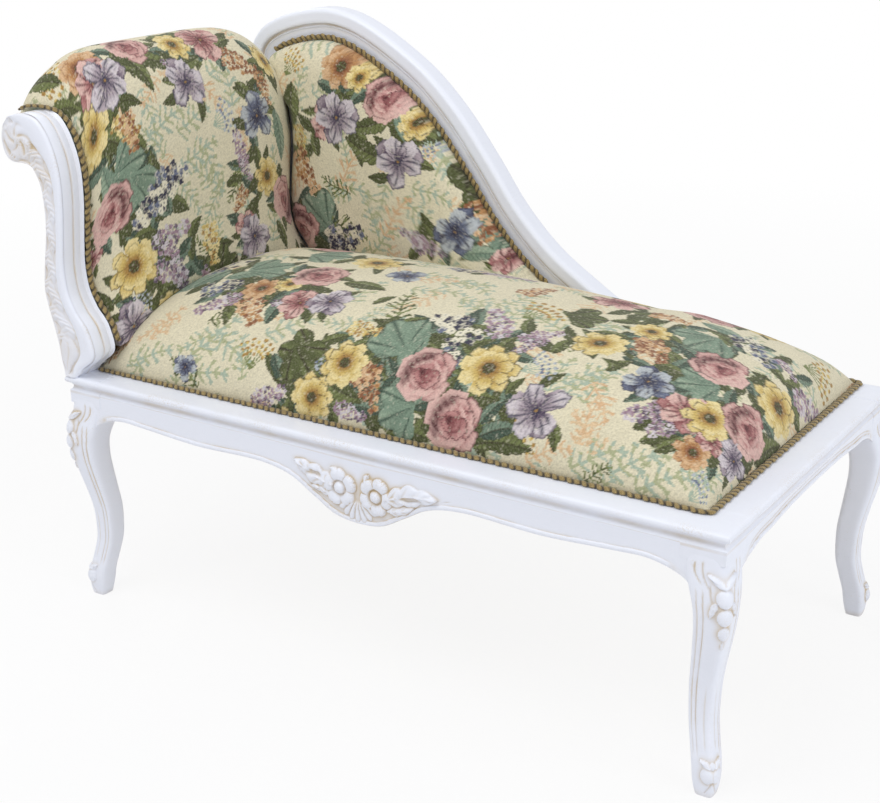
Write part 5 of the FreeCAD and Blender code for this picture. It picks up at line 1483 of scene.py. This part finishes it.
def makeBraids():
    z, gap = chaise["zTop"], braid["gap"]
    # round the seat from the front upright to the tail of the back rail
    near, far = chaise["yFront"] + braid["seatEdge"] + gap, chaise["yRear"] - 0.0025 - gap
    foot = chaise["xFoot"] - braid["seatEdge"] - gap
    path = roundedPath([(-0.4780, near, z), (foot, near, z), (foot, far, z), (braid["seatTail"], far, z)],
                       braid["corner"])
    addPiece("seatBraid", [braidPart(path, (0, 0, 1))], goldBraid, ["seat_gimp"])
    # down the front upright's inner edge
    inner = [(0.11, 0.984), (0.206, 1.0)] + innerScroll + innerEdge + [(0.99, 0.13)]
    line = smoothLine(uprightPlace(inner), 600)
    line = line - rightHand(line) * 0.0005
    path = stood(line, braid["headAt"])
    path = overScroll(path, np.ones(len(path)))
    addPiece("headBraid", [braidPart(path, stood(-rightHand(line), 0.0), -braid["headSink"])], goldBraid,
             ["head_gimp"])
    # under the rail of the back
    edge = backEdge(1600)
    line = edge + rightHand(edge) * (braid["railEdge"] - gap)
    line = line[(line[:, 0] > -0.5200) & (line[:, 0] < braid["backTail"]) & (line[:, 1] > z + 0.004)]
    addPiece("backBraid", [braidPart(stood(line, braid["backAt"])[::-1], (0, -1, 0))], goldBraid,
             ["back_gimp"])


makeBraids()
print("cloth and braid ready")


# Linings, webbing and what closes the frame from behind

web = {"spacing": 0.088, "width": 0.050, "thick": 0.0018, "wave": 0.0009, "z": 0.3690,
       "xEnds": (-0.4557, 0.5397), "yEnds": (-0.2527, 0.2527), "firstX": 0.042, "headTop": (-0.5109, 0.691),
       "headLow": -0.4869, "headLean": (0.97, 0, 0.1), "backMiddle": -0.2386, "backY": 0.2650,
       "backLow": 0.3745, "points": 80, "around": 20}


def strapPart(path, up, waves=None):
    # a flat band along a path: breadth and thickness follow small powers of the cosine and sine of
    # the turn, and waves lift it over and under the others
    line = evenLine(np.asarray(path, float), web["points"])
    up = np.broadcast_to(np.asarray(up, float), line.shape)
    turn = np.linspace(0, 2 * np.pi, web["around"], endpoint=False)
    a = np.sign(np.cos(turn)) * np.abs(np.cos(turn))**0.35 * web["width"] / 2
    b = np.sign(np.sin(turn)) * np.abs(np.sin(turn))**0.6 * web["thick"] / 2
    b = b + (waves(line)[:, None] if waves else np.zeros((len(line), 1)))
    points = line[:, None] + framed(line, up)[:, None] * a[:, None] + up[:, None] * b[..., None]
    cloth = np.zeros(points.shape)
    cloth[..., 0] = runAlong(line)[:, None]
    cloth[..., 1] = a
    return surface(points, {"cloth": cloth})


def waved(places, axis, sign):
    # a cosine along the strap, up over one crossing and down under the next
    return lambda line: sign * web["wave"] * np.cos(np.pi * (line[:, axis] - places[0]) / web["spacing"])


def makeWebbing():
    spacing, z = web["spacing"], web["z"]
    yPlaces = [spacing * i for i in range(-2, 3)]
    xPlaces = [web["firstX"] + spacing * i for i in range(-5, 6)]
    parts = [strapPart([(x, y, z) for x in web["xEnds"]], (0, 0, 1), waved(xPlaces, 0, 1 if i % 2 else -1))
             for i, y in enumerate(yPlaces)]
    parts += [strapPart([(x, y, z) for y in web["yEnds"]], (0, 0, 1), waved(yPlaces, 1, 1 if i % 2 else -1))
              for i, x in enumerate(xPlaces)]
    addPiece("seatWebs", parts, jute, ["seat_webbing"], sharp=None)
    # up from the lower rail of the head end and over its top rail
    low, (top, over) = web["headLow"], web["headTop"]
    up = np.array(web["headLean"]) / np.linalg.norm(web["headLean"])
    parts = [strapPart([(low, y, 0.398), (low, y, 0.431), (top, y, over), (top, y, over + 0.033)], up)
             for y in yPlaces]
    addPiece("headWebs", parts, jute, ["head_webbing"], sharp=None)
    # from the lower rail of the back to under its top rail
    edge = backEdge(1600)
    under = (edge + rightHand(edge) * 0.0475).T
    parts = []
    for x in [web["backMiddle"] + spacing * i for i in range(-2, 3)]:
        left, middle, right = np.interp([x - web["width"] / 2, x, x + web["width"] / 2], *under)
        top = middle - 0.004 - abs(right - left) / 2
        parts.append(strapPart([(x, web["backY"], web["backLow"]), (x, web["backY"], top)], (0, -1, 0)))
    addPiece("backWebs", parts, jute, ["back_webbing"], sharp=None)


lining = {"hessianZ": 0.37165, "postClear": 0.0663, "cutBack": 0.2387, "dustZ": 0.3504, "dustSag": 0.0022,
          "dustInset": 0.0373, "dustCorner": 0.0936, "headHalf": 0.2566, "headTop": 0.6862,
          "headOff": 0.0066, "backAt": 0.3006, "railCovered": 0.0245, "thin": 0.0010, "thick": 0.0012}


def sheetPiece(name, points, cloth, material, node, thickness, dye=None):
    # a stretched sheet with its own thickness
    values = {"cloth": cloth} if dye is None else {"cloth": cloth, "dye": dye}
    piece = addPiece(name, [surface(points, values, False)], material, [node], sharp=None)
    solidify = piece.modifiers.new("thickness", "SOLIDIFY")
    solidify.thickness = thickness
    solidify.offset = 0.0


def makeSeatLinings():
    # hessian over the webs, clear of the leg posts
    x, y = np.linspace(*web["xEnds"], 80), np.linspace(*web["yEnds"], 40)
    grid = np.stack(np.broadcast_arrays(x[:, None], y[None, :], lining["hessianZ"]), -1).astype(float)
    near = np.minimum(np.abs(grid[..., 0] - chaise["xHead"]), np.abs(grid[..., 0] - chaise["xFoot"]))
    beside = chaise["yRear"] - np.abs(grid[..., 1])
    clip = (near < lining["postClear"]) & (beside < lining["postClear"])
    grid[..., 1] = np.where(clip, np.sign(grid[..., 1]) * lining["cutBack"], grid[..., 1])
    sheetPiece("hessian", grid, grid * [1, 1, 0], sacking, "seat_hessian",
               lining["thin"])
    # the dust cover under the frame, its corners cut off, sagging a little
    inset = lining["dustInset"]
    x = np.linspace(chaise["xHead"] + inset, chaise["xFoot"] - inset, 100)
    cut = np.clip(lining["dustCorner"] - np.minimum(x - x[0], x[-1] - x), 0, None)
    k = np.linspace(-1, 1, 50)[None, :]
    grid = np.zeros((100, 50, 3))
    grid[..., 0] = x[:, None]
    grid[..., 1] = (chaise["yRear"] - inset - cut)[:, None] * k
    sag = (1 - k**2) * np.sin(np.pi * np.linspace(0, 1, 100))[:, None]
    grid[..., 2] = lining["dustZ"] - lining["dustSag"] * sag**0.5
    sheetPiece("dustCover", grid, grid * [1, 1, 0], calico, "dust_cover",
               lining["thin"])


def makeHeadOutside():
    # the outside cover of the head end, bowed with the uprights
    outer = [(0.568, 0.0), (0.51, 0.12), (0.452, 0.235), (0.387, 0.3325), (0.432, 0.4525), (0.49, 0.6275),
             (0.470, 0.72), (0.461, 0.79)]
    line = smoothLine(uprightPlace(outer), 400)
    line = line[line[:, 1] < lining["headTop"]]
    line = evenLine(line + rightHand(line) * lining["headOff"], 120)
    y = np.linspace(-lining["headHalf"], lining["headHalf"], 170)
    run = np.linspace(0, runAlong(line)[-1], 120)
    grid = stood(np.repeat(line[:, None], 170, 1), y[None, :])
    cloth = np.stack(np.broadcast_arrays(run[:, None], y[None, :], 0.0), -1)
    dye = paintCloth(cloth, behind(cloth, 0.15, 0.0, 180))
    sheetPiece("headOutside", grid, cloth, tapestry, "head_outside_cover",
               lining["thick"], dye)
    # its braid along the four edges
    out = stood(-rightHand(line), 0.0)
    parts = [braidPart(stood(line, side * 0.2512)[3:-3], out[3:-3], 0.0006) for side in (-1, 1)]
    for i in (4, -5):
        ends = [(line[i, 0], side * 0.246, line[i, 1]) for side in (-1, 1)]
        parts.append(braidPart(ends, out[i], 0.0006))
    addPiece("headOutsideBraid", parts, goldBraid, ["head_outside_gimp"])


def outsideEdges(inset):
    # the back rail's edge from the scroll to the tail, and the way below: down the upright, along the seat
    inner = smoothLine(uprightPlace([(0.478, 1.0), (0.51, 0.987), (0.60, 0.942)] + innerEdge
                                    + [(1.0, 0.10), (1.0, 0.01)]), 300)
    edge, base = backEdge(1600), chaise["zTop"] + 0.0006 + inset
    upper = edge + rightHand(edge) * (lining["railCovered"] + inset)
    upper = upper[(upper[:, 1] > base) & (upper[:, 0] > -0.5235 + inset)]
    side = inner - rightHand(inner) * (0.0005 + inset)
    side = side[side[:, 1] > base]
    under = np.concatenate([side, [[side[-1, 0], base], [upper[-1, 0], base]]])
    return evenLine(upper, 320), evenLine(under, 320)


def makeBackOutside():
    # the outside cover of the back, flat behind the rail and the post, with its braid
    upper, under = outsideEdges(0.0)
    place = under[:, None] + (upper - under)[:, None] * np.linspace(0, 1, 150)[None, :, None]
    cloth = np.pad(place, ((0, 0), (0, 0), (0, 1)))
    dye = paintCloth(cloth, behind(cloth, -0.15, 0.55))
    sheetPiece("backOutside", stood(place, lining["backAt"]), cloth, tapestry,
               "back_outside_cover", lining["thick"], dye)
    upper, under = outsideEdges(0.0056)
    path = stood(evenLine(np.concatenate([upper, under[::-1], upper[:1]]), 1600), lining["backAt"] + 0.0006)
    addPiece("backOutsideBraid", [braidPart(path[::-1], (0, 1, 0))], goldBraid,
             ["back_outside_gimp"])


makeWebbing()
makeSeatLinings()
makeHeadOutside()
makeBackOutside()
print("linings ready")


# Floor, light and camera

studio = {"floor": (tone(236, 236, 238), tone(240, 240, 241)), "world": 0.66, "nearWhite": 0.86}
# each lamp's place, what it looks at, its size, power and colour
lamps = {"keyLamp": ((-0.5, -1.6, 3.3), (0.0, 0.0, 0.4), 2.2, 40.0, (0.985, 0.99, 1.0)),
         "fillLamp": ((3.0, -0.5, 1.8), (0.2, 0.0, 0.4), 2.0, 24.0, (0.93, 0.96, 1.0)),
         "rimLamp": ((-2.4, 1.6, 2.4), (-0.2, 0.0, 0.5), 1.6, 9.0, (1.0, 1.0, 1.0))}
view = {"lens": 64.52, "shift": (-0.0198, -0.0100), "turns": (32.4675, 20.2484, -0.3337),
        "place": (1.2307, -1.9106, 1.1853), "clip": (0.05, 60.0)}


def seenBy(tree, *rays):
    path = addNode(tree, "LightPath").outputs
    seen = path[rays[0]]
    for ray in rays[1:]:
        seen = maths(tree, "MAXIMUM", seen, path[ray])
    return seen


def makeFloor():
    # a pale floor that the camera sees nearly white, whiter further out, with the shadow kept
    bpy.ops.mesh.primitive_plane_add(size=14.0, location=(0, 0, 0))
    floor = bpy.context.active_object
    floor.name = "floor"
    material, tree = newMaterial("paleFloor")
    shader = tree.nodes["Principled BSDF"]
    clouds = spread(tree, noise(tree, objectPlace(tree), 3.0), 0.3, 0.7)
    tree.links.new(mixed(tree, clouds, *studio["floor"]), shader.inputs["Base Color"])
    shader.inputs["Roughness"].default_value = 0.9
    shader.inputs["Specular IOR Level"].default_value = 0.1
    glow = addNode(tree, "Emission", {}, Color=(1, 1, 1, 1), Strength=1.0)
    away = addNode(tree, "VectorMath", {"operation": "LENGTH"}, i0=objectPlace(tree)).outputs["Value"]
    outwards = times(tree, spread(tree, away, 1.2, 3.2), 1.0 - studio["nearWhite"])
    seen = seenBy(tree, "Is Camera Ray", "Is Glossy Ray", "Is Transmission Ray")
    share = times(tree, seen, plus(tree, studio["nearWhite"], outwards))
    both = addNode(tree, "MixShader", {}, i0=share, i1=shader.outputs[0], i2=glow.outputs[0])
    tree.links.new(both.outputs[0], tree.nodes["Material Output"].inputs["Surface"])
    floor.data.materials.append(material)


def makeWorld():
    world = bpy.data.worlds.new("studioWorld")
    bpy.context.scene.world = world
    world.use_nodes = True
    tree = world.node_tree
    sky = tree.nodes["Background"]
    seen = seenBy(tree, "Is Camera Ray", "Is Transmission Ray")
    strength = plus(tree, times(tree, seen, 1.0 - studio["world"]), studio["world"])
    tree.links.new(strength, sky.inputs["Strength"])
    sky.inputs["Color"].default_value = (1, 1, 1, 1)


def makeLamps():
    for name, (place, target, size, power, colour) in lamps.items():
        lamp = bpy.data.lights.new(name, "AREA")
        lamp.shape = "DISK"
        lamp.size = size
        lamp.energy = power
        lamp.color = colour
        holder = bpy.data.objects.new(name, lamp)
        bpy.context.scene.collection.objects.link(holder)
        holder.location = place
        holder.rotation_euler = (Vector(target) - Vector(place)).to_track_quat("-Z", "Y").to_euler()


def makeCamera():
    # placed by its yaw, its pitch down and a slight roll
    data = bpy.data.cameras.new("camera")
    data.sensor_width = 36.0
    data.lens = view["lens"]
    data.shift_x, data.shift_y = view["shift"]
    data.clip_start, data.clip_end = view["clip"]
    camera = bpy.data.objects.new("camera", data)
    bpy.context.scene.collection.objects.link(camera)
    yaw, pitch, roll = np.radians(view["turns"])
    backwards = Vector((np.sin(yaw) * np.cos(pitch), -np.cos(yaw) * np.cos(pitch), np.sin(pitch)))
    right = (-backwards).cross(Vector((0, 0, 1))).normalized()
    up = right.cross(-backwards)
    matrix = Matrix((np.cos(roll) * right + np.sin(roll) * up, np.cos(roll) * up - np.sin(roll) * right,
                     backwards)).transposed().to_4x4()
    matrix.translation = Vector(view["place"])
    camera.matrix_world = matrix
    bpy.context.scene.camera = camera


makeFloor()
makeWorld()
makeLamps()
makeCamera()
bpy.context.scene.view_settings.view_transform = "Standard"
print("stage, lamps and camera ready")
